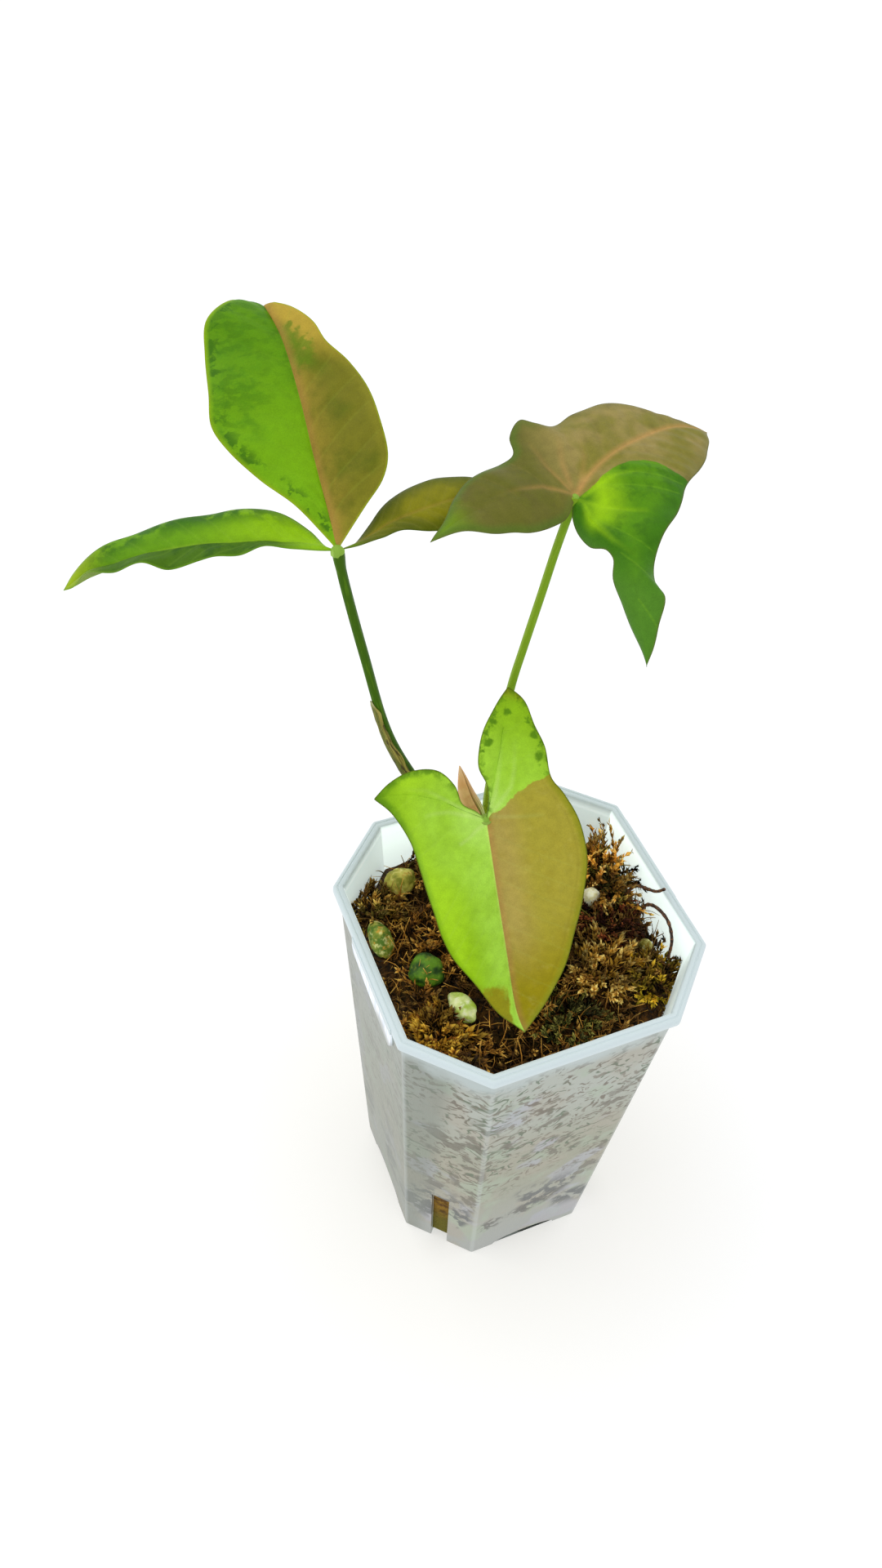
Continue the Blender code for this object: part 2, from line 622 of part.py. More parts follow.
def moss_bed():
    """The moss that fills the pot: a plug whose lumpy top rises to a pole, hollowed for what it holds."""
    foot = octagon(inner_half(MOSS_FOOT) - GAP, inner_cut(MOSS_FOOT), MOSS_FOOT)
    shoulder = octagon(inner_half(MOSS_LEVEL - 4) - GAP, inner_cut(MOSS_LEVEL), MOSS_LEVEL)
    rings = [bed_ring(foot, 1.0, MOSS_FOOT)]
    rings += [bed_ring(shoulder, 1 - i / BED_RINGS) for i in range(BED_RINGS)]
    points, faces = loft(rings)
    lid = faces.pop()
    points.append((0.0, 0.0, bed_level(0.0, 0.0)))
    faces += [(a, b, len(points) - 1) for a, b in zip(lid, lid[1:] + lid[:1])]
    obj = mesh_object("moss_bed", points, faces, material("brown_moss", (0.16, 0.09, 0.04), 0.95))
    boolean(obj, bed_shoots(), "UNION")
    room = GAP + 0.1
    humps = channel(WALL + GAP, MOSS_FOOT - 2.0, BASE_HALF + 1.0)
    cutters = on_each_side("hump", humps, (0, 90, 180, 270))
    cutters.append(post("pit", STEM_X, STEM_Y, PIT_RADIUS, PIT_FLOOR, PIT_FLOOR + 20))
    cutters.append(post("hole", STEM_X, STEM_Y, STEM_RADIUS + room, STEM_FOOT - GAP, PIT_FLOOR + 2))
    cutters += roots("root_hole", room)
    for name, ((x, y), seat, radius, *_) in TUFTS.items():
        cutters.append(post(name + "_seat", x, y, radius * 1.08 + 0.5, seat, seat + 12))
    for seed, (name, (centre, radii, turn, _)) in enumerate(LUMPS.items()):
        cutters.append(lump(name + "_seat", centre, radii, turn, seed, None, room))
    boolean(obj, cutters, "DIFFERENCE")
    smooth(obj, 50)
    return obj


def stem():
    """The short stem, wider at its middle, with its roots joined to its foot."""
    heights = ((STEM_FOOT, 0.8), (STEM_FOOT + 6, 1.0), (101, 1.0), (106, 0.96), (STEM_TOP, 0.6))
    rings = [circle(STEM_RADIUS * share, height, 12) for height, share in heights]
    finish = material("green_stem", (0.16, 0.24, 0.06), 0.6)
    obj = mesh_object("stem", *loft(rings), finish, (STEM_X, STEM_Y, 0))
    boolean(obj, roots("root", 0.0), "UNION")
    smooth(obj, 50)
    return obj


def petiole_radius(radii, t):
    """Wide where it clasps the stem, then narrow and even."""
    wide, narrow = radii
    return narrow + (wide - narrow) * max(0.0, 1 - t * 1.6) ** 1.4


def petiole(name, path, radii, colour):
    """A tapering stalk that stands beside the stem and ends just under its blade's joint."""
    joint, before = Vector(path[-1]), Vector(path[-2])
    end = joint + (before - joint).normalized() * (JOINT_RADIUS + GAP + 0.2)
    foot = Vector(path[0]) + Vector((0, 0, GAP + 0.1))
    finish = material(name + "_green", colour, 0.45)
    return stalk(name, [foot, *path[1:-1], end], lambda t: petiole_radius(radii, t), 14, finish)


def sheath():
    """The papery sheath that lies open along the lower half of the left petiole."""
    around, along = 6, 10
    low, high = SHEATH_SPAN
    shares = np.linspace(low, high, along + 1)
    line = smooth_curve(LEFT_PETIOLE, shares)
    grid = np.zeros((along + 1, around + 1, 3))
    for i, share in enumerate(shares):
        ahead = Vector(line[min(i + 1, along)] - line[max(i - 1, 0)]).normalized()
        outer = Vector((-0.85, -0.5, 0.0))
        outer = (outer - ahead * outer.dot(ahead)).normalized()
        side = ahead.cross(outer).normalized()
        radius = petiole_radius(LEFT_RADII, share) + SHEATH_GAP + SHEATH_THICK / 2
        spread = math.radians(100) * (1 - 0.72 * (i / along) ** 2.2)
        for k in range(around + 1):
            angle = spread * (2 * k / around - 1)
            offset = outer * (radius * math.cos(angle)) + side * (radius * math.sin(angle))
            grid[i, k] = line[i] + np.array(offset)
    finish = material("papery_sheath", (0.22, 0.13, 0.06), 0.8)
    return sheet("left_sheath", [grid], SHEATH_THICK, finish)


def new_leaf_radius(t):
    return NEW_LEAF_RADIUS * (0.72 + 0.28 * math.sin(math.pi * min(1.0, t * 1.3))) * (1 - 0.8 * t**4)


def patch(spine, edge, across):
    """Straight rays from the spine to the edge, crowned between them away from the joint."""
    t = np.linspace(0, 1, across + 1)[None, :, None]
    flat = spine[:, None] * (1 - t) + edge[:, None] * t
    ray = edge - spine
    normal = np.cross(np.gradient((spine + edge) / 2, axis=0), ray)
    normal = normal / np.maximum(np.linalg.norm(normal, axis=1, keepdims=True), 1e-6)
    normal = normal * np.sign(normal[:, 2:3] + 1e-9)
    width = np.linalg.norm(ray, axis=1, keepdims=True)
    width = width * np.minimum(1.0, np.linalg.norm(spine, axis=1, keepdims=True) / CROWN_START)
    crown = BLADE_CROWN * 4 * t * (1 - t) * width[:, None]
    return flat + crown * normal[:, None]


def half_blade(rib, half, lobe_steps, rib_steps, across):
    """The patches of one half: lobe vein to inner edge, and lobe vein and rib to the margin."""
    whole = np.linspace(0, 1, rib_steps + 1)
    spine = smooth_curve(rib, whole)
    if "vein" not in half:
        return [patch(spine, smooth_curve(half["outer"], whole), across)]
    part = np.linspace(0, 1, lobe_steps + 1)
    vein = smooth_curve(half["vein"], part)
    vein_run = np.linalg.norm(np.diff(vein, axis=0), axis=1).sum()
    rib_run = np.linalg.norm(np.diff(spine, axis=0), axis=1).sum()
    turn = vein_run / (vein_run + rib_run)
    margin = smooth_curve(half["outer"], np.concatenate([part * turn, (turn + (1 - turn) * whole)[1:]]))
    inner = smooth_curve(half["inner"], part)
    return [patch(vein, inner, across), patch(np.vstack([vein[::-1], spine[1:]]), margin, across)]


def weld(grids):
    """The grids as one set of triangles whose shared points are the same points."""
    points = []
    triangles = []
    for grid in grids:
        rows, columns = grid.shape[:2]
        first = len(points)
        points.extend(grid.reshape(-1, 3))
        for i in range(rows - 1):
            for j in range(columns - 1):
                a = first + i * columns + j
                b, c, d = a + columns, a + columns + 1, a + 1
                triangles += [(a, b, c), (a, c, d)] if (i + j) % 2 else [(a, b, d), (b, c, d)]
    points = np.array(points)
    _, keep, index = np.unique(np.round(points, 3), axis=0, return_index=True, return_inverse=True)
    triangles = index.reshape(-1)[np.array(triangles)]
    apart = (triangles != np.roll(triangles, 1, axis=1)).all(axis=1)
    return points[keep], triangles[apart].tolist()


def sheet(name, grids, thick, finish=None, place=(0, 0, 0)):
    """A thin blade of even thickness, split into the same triangles on both faces."""
    obj = mesh_object(name, *weld(grids), finish, place)
    modifier = obj.modifiers.new("Solidify", "SOLIDIFY")
    modifier.thickness = thick * MM
    modifier.offset = 0.0
    return obj


def leaf(name, blades, joint, colour):
    """The blades of one leaf, joined where they meet on a small knot."""
    parts = []
    for number, (shape, lobe_steps, rib_steps) in enumerate(blades):
        grids = []
        for half in shape["halves"]:
            grids += half_blade(shape["rib"], half, lobe_steps, rib_steps, 3)
        parts.append(sheet(f"{name}_{number}", grids, BLADE_THICK, None, joint))
    obj = ball(name, [JOINT_RADIUS] * 3, joint, material(name + "_blade", colour, 0.45))
    boolean(obj, parts, "UNION")
    smooth(obj, 50)
    return obj


def stand_together():
    """One empty at the middle of the pot's base that carries every piece."""
    plant = bpy.data.objects.new("plant", None)
    bpy.context.scene.collection.objects.link(plant)
    for obj in list(bpy.data.objects):
        if obj != plant:
            obj.parent = plant


def main():
    clear_scene()
    pot()
    moss_bed()
    for seed, (name, values) in enumerate(TUFTS.items(), 3):
        tuft(name, *values, seed)
    for seed, (name, (centre, radii, turn, colour)) in enumerate(LUMPS.items()):
        lump(name, centre, radii, turn, seed, material(name + "_stone", colour, 0.8))
    stem()
    petiole("left_petiole", LEFT_PETIOLE, LEFT_RADII, (0.08, 0.16, 0.03))
    petiole("right_petiole", RIGHT_PETIOLE, RIGHT_RADII, (0.22, 0.36, 0.04))
    petiole("front_petiole", FRONT_PETIOLE, FRONT_RADII, (0.15, 0.28, 0.05))
    sheath()
    stalk("new_leaf", NEW_LEAF, new_leaf_radius, 12, material("rolled_leaf", (0.62, 0.30, 0.22), 0.5))
    wiry = material("wiry_dark", (0.05, 0.025, 0.015), 0.6)
    stalk("wiry_root", WIRY_ROOT, lambda t: WIRY_RADIUS * (1 - 0.25 * t), 12, wiry)
    stalk("moss_twig", TWIG, lambda t: WIRY_RADIUS * (1 - 0.25 * t), 8, wiry)
    leaf("front_leaf", [(FRONT_LEAF, 8, 12)], FRONT_JOINT, (0.35, 0.55, 0.06))
    leaf("right_leaf", [(RIGHT_LEAF, 8, 12)], RIGHT_JOINT, (0.30, 0.22, 0.10))
    leaflets = [(CENTRE_LEAFLET, 0, 16), (LEFT_LEAFLET, 0, 16), (RIGHT_LEAFLET, 0, 12)]
    leaf("left_leaf", leaflets, LEFT_JOINT, (0.25, 0.42, 0.05))
    stand_together()


main()
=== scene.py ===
"""Arrowhead plant in a milky nursery pot: the finished surfaces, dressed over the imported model.

Sizes in the code are in millimetres and are turned to metres when a mesh is made. The origin is the
middle of the pot's base and +Z is up. Each operator makes one piece or one group of like pieces.
"""

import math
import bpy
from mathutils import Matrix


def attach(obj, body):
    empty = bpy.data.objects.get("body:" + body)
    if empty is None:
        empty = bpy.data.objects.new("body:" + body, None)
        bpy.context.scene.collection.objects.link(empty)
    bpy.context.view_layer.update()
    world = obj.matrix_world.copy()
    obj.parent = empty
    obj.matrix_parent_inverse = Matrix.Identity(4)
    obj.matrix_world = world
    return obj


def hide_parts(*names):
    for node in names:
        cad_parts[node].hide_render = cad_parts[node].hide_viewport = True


bl_info = {
    "name": "Potted Arrowhead Plant",
    "version": (1, 0, 0),
    "blender": (4, 5, 0),
    "location": "3D View > Sidebar > Plant",
    "description": "Dresses the packed arrowhead plant with leaves, stalks, moss, pebbles and a milky pot",
    "category": "Object",
}

import bpy
import numpy as np
from bpy.props import FloatProperty, FloatVectorProperty, IntProperty, PointerProperty

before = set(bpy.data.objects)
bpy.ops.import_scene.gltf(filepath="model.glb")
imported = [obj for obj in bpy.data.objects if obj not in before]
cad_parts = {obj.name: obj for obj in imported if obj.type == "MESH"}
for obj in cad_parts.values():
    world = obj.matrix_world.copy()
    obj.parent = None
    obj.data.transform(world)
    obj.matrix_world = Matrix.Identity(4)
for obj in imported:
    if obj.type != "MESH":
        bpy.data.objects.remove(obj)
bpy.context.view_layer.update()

MM = 0.001
BODY = "root"
GOLDEN_ANGLE = 2.399963
GOLDEN_SHARE = 0.618034

# The pot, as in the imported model: half widths across its flats and how much each corner is cut back.
POT_HEIGHT = 110.0
BASE_HALF = 28.4
BASE_CUT = 13.5
NECK_HALF = 33.7
NECK_CUT = 13.9
RIM_HALF = 35.0
RIM_CUT = 14.4
RIM_DROP = 2.4
RIM_WIDTH = 2.4
WALL = 1.1
FLOOR = 1.2
CUT_SHARE = 0.586  # how much less an inner corner is cut back for each millimetre of wall
INNER_CUT = BASE_CUT - CUT_SHARE * WALL
CHANNEL_HALF = 9.0
CHANNEL_HEIGHT = 4.0
CHANNEL_LENGTH = 17.0
SLIT_WIDTH = 4.6
SLIT_HEIGHT = 31.0
TAB_NEAR = -16.5
TAB_FAR = 7.0
TAB_DROP_NEAR = 9.0
TAB_DROP_FAR = 5.5

# The moss: its mean level, its mound and foot, its gap to the wall, and the height at which the wall
# bounds the strands. Then how far out the strands are strewn, how many rings of points one has, and how
# far strands and their roots stay from the wall and the stem. TABLE_LEAFLET is the leaflet setting at
# which the lengths in the table of tufts hold. Then the stem and the pit that it stands in.
MOSS_LEVEL = 97.5
MOSS_MOUND = 4.0
MOSS_FOOT = 1.6
MOSS_GAP = 0.3
WALL_LEVEL = 98.0
SCATTER_REACH = 33.5
SHOOT_HUBS = 85
STRAND_RINGS = 6
STRAND_GAP = 0.35
ROOT_GAP = 1.0
STEM_CLEARANCE = 3.2
TUFT_LEAFLETS = 12
TABLE_LEAFLET = 2.5
STEM = (-1.0, 12.0)
STEM_RADIUS = 2.4
STEM_FOOT = 66.0
STEM_TOP = 108.0
PIT_RADIUS = 7.0

# Moss tufts: place on the bed, seat level, radius, number of shoots, their length, the length of their
# leaflets, record slot.
TUFTS = {
    "moss_rust": ((25.5, 8.5), 100.5, 5.5, 62, 12.5, 2.6, "rust_moss"),
    "moss_red": ((21.5, -3.6), 99.5, 4.2, 64, 6.5, 1.9, "red_moss"),
    "moss_gold": ((15.5, -13.5), 98.8, 5.0, 60, 7.0, 3.0, "gold_moss"),
    "moss_olive": ((25.5, -19.0), 98.0, 4.2, 56, 6.5, 2.5, "olive_moss"),
    "moss_green": ((3.5, -23.0), 97.5, 4.6, 60, 6.5, 2.2, "green_moss"),
    "moss_amber": ((-24.5, -16.5), 98.0, 4.2, 46, 6.5, 3.4, "amber_moss"),
    "moss_sage": ((-26.5, 19.0), 98.0, 4.0, 56, 6.5, 2.6, "sage_moss"),
    "moss_tan": ((9.0, 25.0), 98.5, 5.0, 60, 7.0, 2.6, "gold_moss"),
}

# Pebbles: centre, half sizes along X, Y and Z, turn about Z in degrees, record slot.
PEBBLES = {
    "lump_algae": ((-21.5, -1.5, 101.4), (3.7, 3.9, 3.4), 20, "algae_lump"),
    "lump_pale": ((-17.4, -12.2, 100.9), (4.2, 2.4, 2.6), -72, "pale_lump"),
    "lump_mottled": ((-27.6, 9.8, 100.6), (2.8, 4.2, 3.1), 0, "mottled_lump"),
    "lump_green": ((-17.8, 23.4, 100.4), (3.9, 3.2, 3.0), 15, "mottled_lump"),
    "lump_white": ((20.3, 3.2, 102.8), (1.9, 2.0, 2.7), 10, "white_lump"),
    "lump_small": ((27.0, -11.6, 100.4), (1.2, 1.8, 1.8), 25, "pale_lump"),
}

# Where each petiole meets its blade, how high and from where a blade is crowned, and a distance in
# millimetres that no mark on it reaches.
FRONT_JOINT = (-7.9, 4.5, 140.0)
LEFT_JOINT = (-28.4, 32.0, 190.0)
RIGHT_JOINT = (17.0, 31.1, 192.0)
BLADE_CROWN = 0.07
CROWN_START = 12.0
FAR = 9.0

# Each blade's outline, as offsets from its joint: right, back and up. A lobe's vein and both its
# edges run from the joint or the blade's tip to the lobe's tip.
FRONT_LEAF = {
    "rib": [(0, 0, 0), (-1.5, -10.5, -9), (-2.5, -20, -18.5), (-3, -27.5, -27), (-2, -30.5, -31.5)],
    "halves": [
        {
            "vein": [(0, 0, 0), (-3.5, 2, 1.5), (-8.5, 5, 3.5), (-14, 8, 4), (-19.5, 10.5, 2)],
            "inner": [
                (0, 0, 0), (-1.7, 1.4, 1.5), (-4, 2.7, 3), (-5, 5, 6.5), (-7.5, 8, 8.5), (-12, 10, 8),
                (-16.5, 11, 5), (-19.5, 10.5, 2),
            ],
            "outer": [
                (-19.5, 10.5, 2), (-17, 6.5, 1), (-15.5, 1, -2), (-15, -3.5, -6), (-14.5, -8.5, -11),
                (-14, -14, -15), (-12.5, -17.5, -19), (-10, -22, -22), (-7, -26.5, -26.5),
                (-4, -29, -29.5), (-2, -30.5, -31.5),
            ],
        },
        {
            "vein": [(0, 0, 0), (2.5, 3.5, 5.5), (5, 7, 11), (7, 10.5, 15.5), (9.5, 15, 19)],
            "inner": [
                (0, 0, 0), (1.0, 1.7, 3), (1.1, 3.6, 6), (0.1, 5.6, 9), (1, 8, 12), (2.5, 10, 14.5),
                (5.5, 12.5, 16.5), (9.5, 15, 19),
            ],
            "outer": [
                (9.5, 15, 19), (11.5, 11.5, 18), (12, 7, 15.5), (13, 4, 12.5), (13, -0.5, 8),
                (14.5, -3.5, 6), (16, -8.5, 2.5), (16, -13.5, -3), (13.5, -18.5, -8),
                (10.5, -22.5, -13.5), (7, -26.5, -18.5), (3.5, -28.5, -23.5), (0, -30, -28.5),
                (-2, -30.5, -31.5),
            ],
        },
    ],
}
RIGHT_LEAF = {
    "rib": [(0, 0, 0), (4.5, 3.5, 1.5), (11, 7.5, 2), (19.5, 11.5, 1.5), (29, 15, 0), (38.5, 16.5, -3.5)],
    "halves": [
        {
            "vein": [(0, 0, 0), (-5.5, 0.5, 1.5), (-13.5, -0.5, 3), (-22, -2.5, 2.5), (-30.5, -5, 0.5)],
            "inner": [
                (0, 0, 0), (-3, -3.5, -1.5), (-7.5, -6, -1), (-12.5, -7.5, 0), (-15.5, -7, 0.5),
                (-20, -7.5, 1.5), (-25, -6, 2), (-30.5, -5, 0.5),
            ],
            "outer": [
                (-30.5, -5, 0.5), (-25.5, 0, 1.5), (-21, 5, 2), (-15.5, 8, 3), (-10.5, 10.5, 2.5),
                (-7.5, 12, 3), (-6.5, 16, 4), (-2.5, 20, 4.5), (-0.5, 18, 4.5), (3, 18, 3.5),
                (9, 21, 3), (16.5, 23, 2.5), (23.5, 22.5, 1.5), (30, 20.5, -0.5), (35.5, 18, -2.5),
                (38.5, 16.5, -3.5),
            ],
        },
        {
            "vein": [
                (0, 0, 0), (1, -4.5, -1.5), (2.5, -10.5, -2.5), (3.5, -16.5, -5), (4, -22, -10),
                (3.5, -28, -19),
            ],
            "inner": [
                (0, 0, 0), (-1, -1.5, -2.5), (-0.5, -3.5, -5.5), (0.5, -7, -6.5), (1.5, -11, -4.5),
                (1.5, -13.5, -4.5), (1, -15.5, -7.5), (2.5, -18.5, -11.5), (3.5, -23, -16),
                (3.5, -28, -19),
            ],
            "outer": [
                (3.5, -28, -19), (5, -27, -16), (6, -25.5, -11.5), (7.5, -23.5, -7.5), (8, -19, -7),
                (9, -16, -5.5), (12, -12.5, -3), (18, -7.5, -2), (23.5, -1, -1.5), (30, 4.5, -2.5),
                (35.5, 11.5, -3), (38.5, 16.5, -3.5),
            ],
        },
    ],
}
CENTRE_LEAFLET = {
    "rib": [
        (0, 0, 0), (0.5, 6.5, 3.5), (1, 15.5, 8.5), (1.5, 25, 15), (1.5, 35, 21), (1, 43.5, 22.5),
        (1.5, 48, 19.5), (2, 51, 13.5),
    ],
    "halves": [
        {
            "outer": [
                (0, 0, 0), (-1.5, 3, 1.5), (-5, 8, 5), (-9.5, 13.5, 7.5), (-13.5, 18.5, 11),
                (-15, 23.5, 13), (-14, 28, 16.5), (-12.5, 35.5, 20), (-11, 39.5, 23.5),
                (-7.5, 42.5, 24.5), (-4, 45.5, 24), (-3, 49, 19.5), (2, 51, 13.5),
            ],
        },
        {
            "outer": [
                (0, 0, 0), (2.5, 1.5, 2), (6.5, 4, 5), (10.5, 6, 8.5), (12.5, 9, 11), (13, 15, 15),
                (13, 21.5, 17.5), (11.5, 27, 19.5), (8.5, 30.5, 22), (7.5, 35, 23.5), (5, 40, 24),
                (2.5, 43, 23.5), (4.5, 47, 19), (2, 51, 13.5),
            ],
        },
    ],
}
LEFT_LEAFLET = {
    "rib": [
        (0, 0, 0), (-3.5, 2, 0.5), (-8.5, 5, 0), (-15.5, 8, -0.5), (-23.5, 11, -1.5), (-30, 13, -3),
        (-36.5, 14.5, -5), (-42, 15.5, -7), (-46, 15.5, -9),
    ],
    "halves": [
        {
            "outer": [
                (0, 0, 0), (-2.5, 0, 0.5), (-7.5, 1.5, 1), (-12, 3, 1.5), (-16.5, 4, 0), (-20.5, 5, 0),
                (-23.5, 6, -1), (-28.5, 7, -2.5), (-32.5, 8.5, -1), (-37, 10, -3), (-41.5, 13, -4.5),
                (-44, 13.5, -7), (-46, 15.5, -9),
            ],
        },
        {
            "outer": [
                (0, 0, 0), (-1.5, 1.5, 0), (-3, 6, 0.5), (-6.5, 12, 1), (-10.5, 15, 1), (-18, 17.5, -0.5),
                (-26.5, 19.5, -2), (-32.5, 20, -3.5), (-38.5, 19.5, -5), (-43.5, 18, -7.5),
                (-46, 15.5, -9),
            ],
        },
    ],
}
RIGHT_LEAFLET = {
    "rib": [(0, 0, 0), (4.5, 1, 0), (11.5, 4, 0.5), (20.5, 7, 0), (30, 9.5, -1.5), (40, 9, -5)],
    "halves": [
        {
            "outer": [
                (0, 0, 0), (3, 1, -0.5), (7.5, 5, 0), (13.5, 10, 1), (20.5, 13.5, 0.5), (28.5, 15, -0.5),
                (36, 13.5, -2.5), (40, 9, -5),
            ],
        },
        {
            "outer": [
                (0, 0, 0), (4, -0.5, 0.5), (8, 0, 1), (12.5, 1.5, 0.5), (18.5, 2, -1.5), (26, 3.5, -3.5),
                (33.5, 6, -5), (40, 9, -5),
            ],
        },
    ],
}

# Petioles, the rolled leaf and the wiry root: points in the plant's own space, then the radii.
LEFT_PETIOLE = [
    (-4.6, 15.0, 98.0), (-5.4, 15.6, 106), (-8.2, 17.2, 117), (-13.9, 21.4, 130.7), (-20.2, 26, 145.7),
    (-24.7, 29.2, 167.3), (-27.9, 31.6, 185.5), LEFT_JOINT,
]
RIGHT_PETIOLE = [
    (2.0, 15.2, 98.0), (0.7, 16.0, 110), (-0.9, 17.6, 126), (2.4, 22.4, 139), (6, 26.3, 152),
    (8.9, 28.3, 160.5), (12, 29.9, 171), (14.8, 31.3, 181), RIGHT_JOINT,
]
FRONT_PETIOLE = [(-1.6, 7.4, 98.0), (-2.4, 7.2, 108), (-4.4, 6.6, 122), (-6.6, 5.6, 133), FRONT_JOINT]
NEW_LEAF = [(-1.6, 12.4, 108.3), (-2.6, 13.2, 117), (-4.6, 14.6, 128), (-8, 13.8, 137), (-10.3, 13.5, 147)]
WIRY_ROOT = [
    (28.6, -4.2, 99.6), (29.6, -4.6, 105.4), (30.0, -7.8, 108.6), (30.4, -12.1, 109), (30.4, -15, 106),
    (29.6, -16.6, 101.4),
]
TWIG = [(27.2, 1.0, 100.6), (28.9, -0.4, 107.6), (31.0, -5.1, 110.6), (32.0, -6.4, 112.6)]
LEFT_RADII = (1.9, 0.95)
RIGHT_RADII = (1.7, 0.85)
FRONT_RADII = (1.7, 1.0)
NEW_LEAF_RADIUS = 1.35
SHEATH_SPAN = (0.16, 0.645)
SHEATH_HUG = 0.22
SHEATH_SKIN = 0.24
SHEATH_SPREAD = 94.0
ROOTS = 5
ROOT_LENGTH = 34.0
ROOT_RADIUS = 0.9
WIRY_RADIUS = 0.45

# Dark spots near the margin of the front leaf's right lobe.
LOBE_SPOTS = (
    (3.6, 7.4, 151.3), (3.4, 10.1, 154.3), (-3.4, 14.8, 155.6), (-5.1, 12.4, 153.0), (0.0, 15.4, 156.9),
)
# Green spots near the tip of the left leaf's centre leaflet, and dark spots low on the pot's front.
LEAFLET_SPOTS = ((-26.6, 66.0, 211.8), (-25.0, 62.0, 210.7))
WALL_SPOTS = ((-2.6, -29.5, 21.3), (-11.0, -29.3, 19.0), (3.0, -30.0, 24.0))

# Veins that show on the blades, as offsets from the joint: right, back and up.
FRONT_VEINS = [
    [(0, -0.5, -0.5), (-2.5, -1, -1.5), (-4, -1.5, -2.5), (-6, -2, -3)],
    [(-1, 0.5, 0.5), (-3.5, 2, 1.5), (-6.5, 4, 3.5), (-10.5, 6.5, 5.5), (-14, 8.5, 5), (-16, 9.5, 4.5)],
    [(-1, 0.5, 0), (-4, 1.5, 1), (-7, 2.5, 2), (-9.5, 3, 2), (-11.5, 3, 2)],
    [(1, 1, 2), (2.5, 2, 4), (3.5, 3.5, 6.5), (4.5, 5.5, 9.5), (5.5, 7.5, 12), (6.5, 9, 14.5)],
    [(1.5, 0.5, 1.5), (2.5, 0.5, 2.5), (5.5, 1.5, 6), (6.5, 3, 8.5), (7.5, 5.5, 11.5), (8, 7, 13.5)],
    [(1, 0, 0.5), (3.5, -1.5, 1), (7, -3, 1.5), (10, -4.5, 2.5)],
]
# The lines that part two colours on a blade, in the same terms.
FRONT_BOUND = [
    (0, 0, 0), (1, 0, 0.5), (2.5, 0, 1.5), (5, 0, 3.5), (7.5, 0.2, 6), (9.5, 0.4, 7.5), (12.5, 0, 8),
]
RIGHT_VEINS = [
    [(0, 0.5, 0), (0.5, 7, 2), (2, 12.5, 4)],
    [(0, 0.5, 0), (-2.5, 7, 2), (-3.5, 13.5, 3.5)],
    [(1.5, 1, 0.5), (5, 7.5, 2.5), (7, 15.5, 3.5)],
    [(0, 0.5, 0), (-6, 2, 2), (-12.5, 1, 3), (-17.5, 0, 3)],
    [(1.5, -0.5, 0), (5.5, 1, 1), (9, 2, 1.5), (14, 2, 1.5), (18.5, 1, 0.5)],
    [(0.5, -1, -0.5), (3.5, -3.5, -1), (7, -5, -1), (11.5, -6.5, -1.5)],
    [(1, -2, -0.5), (1, -5, -2), (2.5, -10.5, -2.5), (5, -14.5, -4)],
]
RIGHT_BOUND = [
    (0, -0.5, -0.5), (2, 0, 0), (5, 1.5, 1), (9, 3.5, 1.5), (13, 4.5, 2), (16, 4.5, 1.5), (18, 4, 1.5),
    (20, 2.5, 0.5), (22, 1, -0.5), (24, -0.5, -1.5),
]


# ---------------------------------------------------------------- shapes


def smooth_curve(points, fractions):
    """A Catmull-Rom curve with centripetal knots through the points, read at shares of its length."""
    p = np.array(points, float)
    p = np.vstack([2 * p[0] - p[1], p, 2 * p[-1] - p[-2]])
    pieces = []
    for i in range(1, len(p) - 2):
        a, b, c, d = p[i - 1 : i + 3]
        spans = np.linalg.norm(np.diff(p[i - 1 : i + 3], axis=0), axis=1) ** 0.5
        ta, tb, tc, td = np.concatenate([[0], np.cumsum(spans)])
        t = np.linspace(tb, tc, 24, endpoint=False)[:, None]
        ab = ((tb - t) * a + (t - ta) * b) / (tb - ta)
        bc = ((tc - t) * b + (t - tb) * c) / (tc - tb)
        cd = ((td - t) * c + (t - tc) * d) / (td - tc)
        left = ((tc - t) * ab + (t - ta) * bc) / (tc - ta)
        right = ((td - t) * bc + (t - tb) * cd) / (td - tb)
        pieces.append(((tc - t) * left + (t - tb) * right) / (tc - tb))
    curve = np.vstack(pieces + [p[-2:-1]])
    run = np.concatenate([[0], np.cumsum(np.linalg.norm(np.diff(curve, axis=0), axis=1))])
    at = np.asarray(fractions) * run[-1]
    return np.stack([np.interp(at, run, curve[:, i]) for i in range(3)], axis=-1)


def patch(spine, edge, across):
    """Straight rays from the spine to the edge, crowned between them away from the joint."""
    t = np.linspace(0, 1, across + 1)[None, :, None]
    flat = spine[:, None] * (1 - t) + edge[:, None] * t
    ray = edge - spine
    normal = np.cross(np.gradient((spine + edge) / 2, axis=0), ray)
    normal = normal / np.maximum(np.linalg.norm(normal, axis=1, keepdims=True), 1e-6)
    normal = normal * np.sign(normal[:, 2:3] + 1e-9)
    width = np.linalg.norm(ray, axis=1, keepdims=True)
    width = width * np.minimum(1.0, np.linalg.norm(spine, axis=1, keepdims=True) / CROWN_START)
    crown = BLADE_CROWN * 4 * t * (1 - t) * width[:, None]
    return flat + crown * normal[:, None]


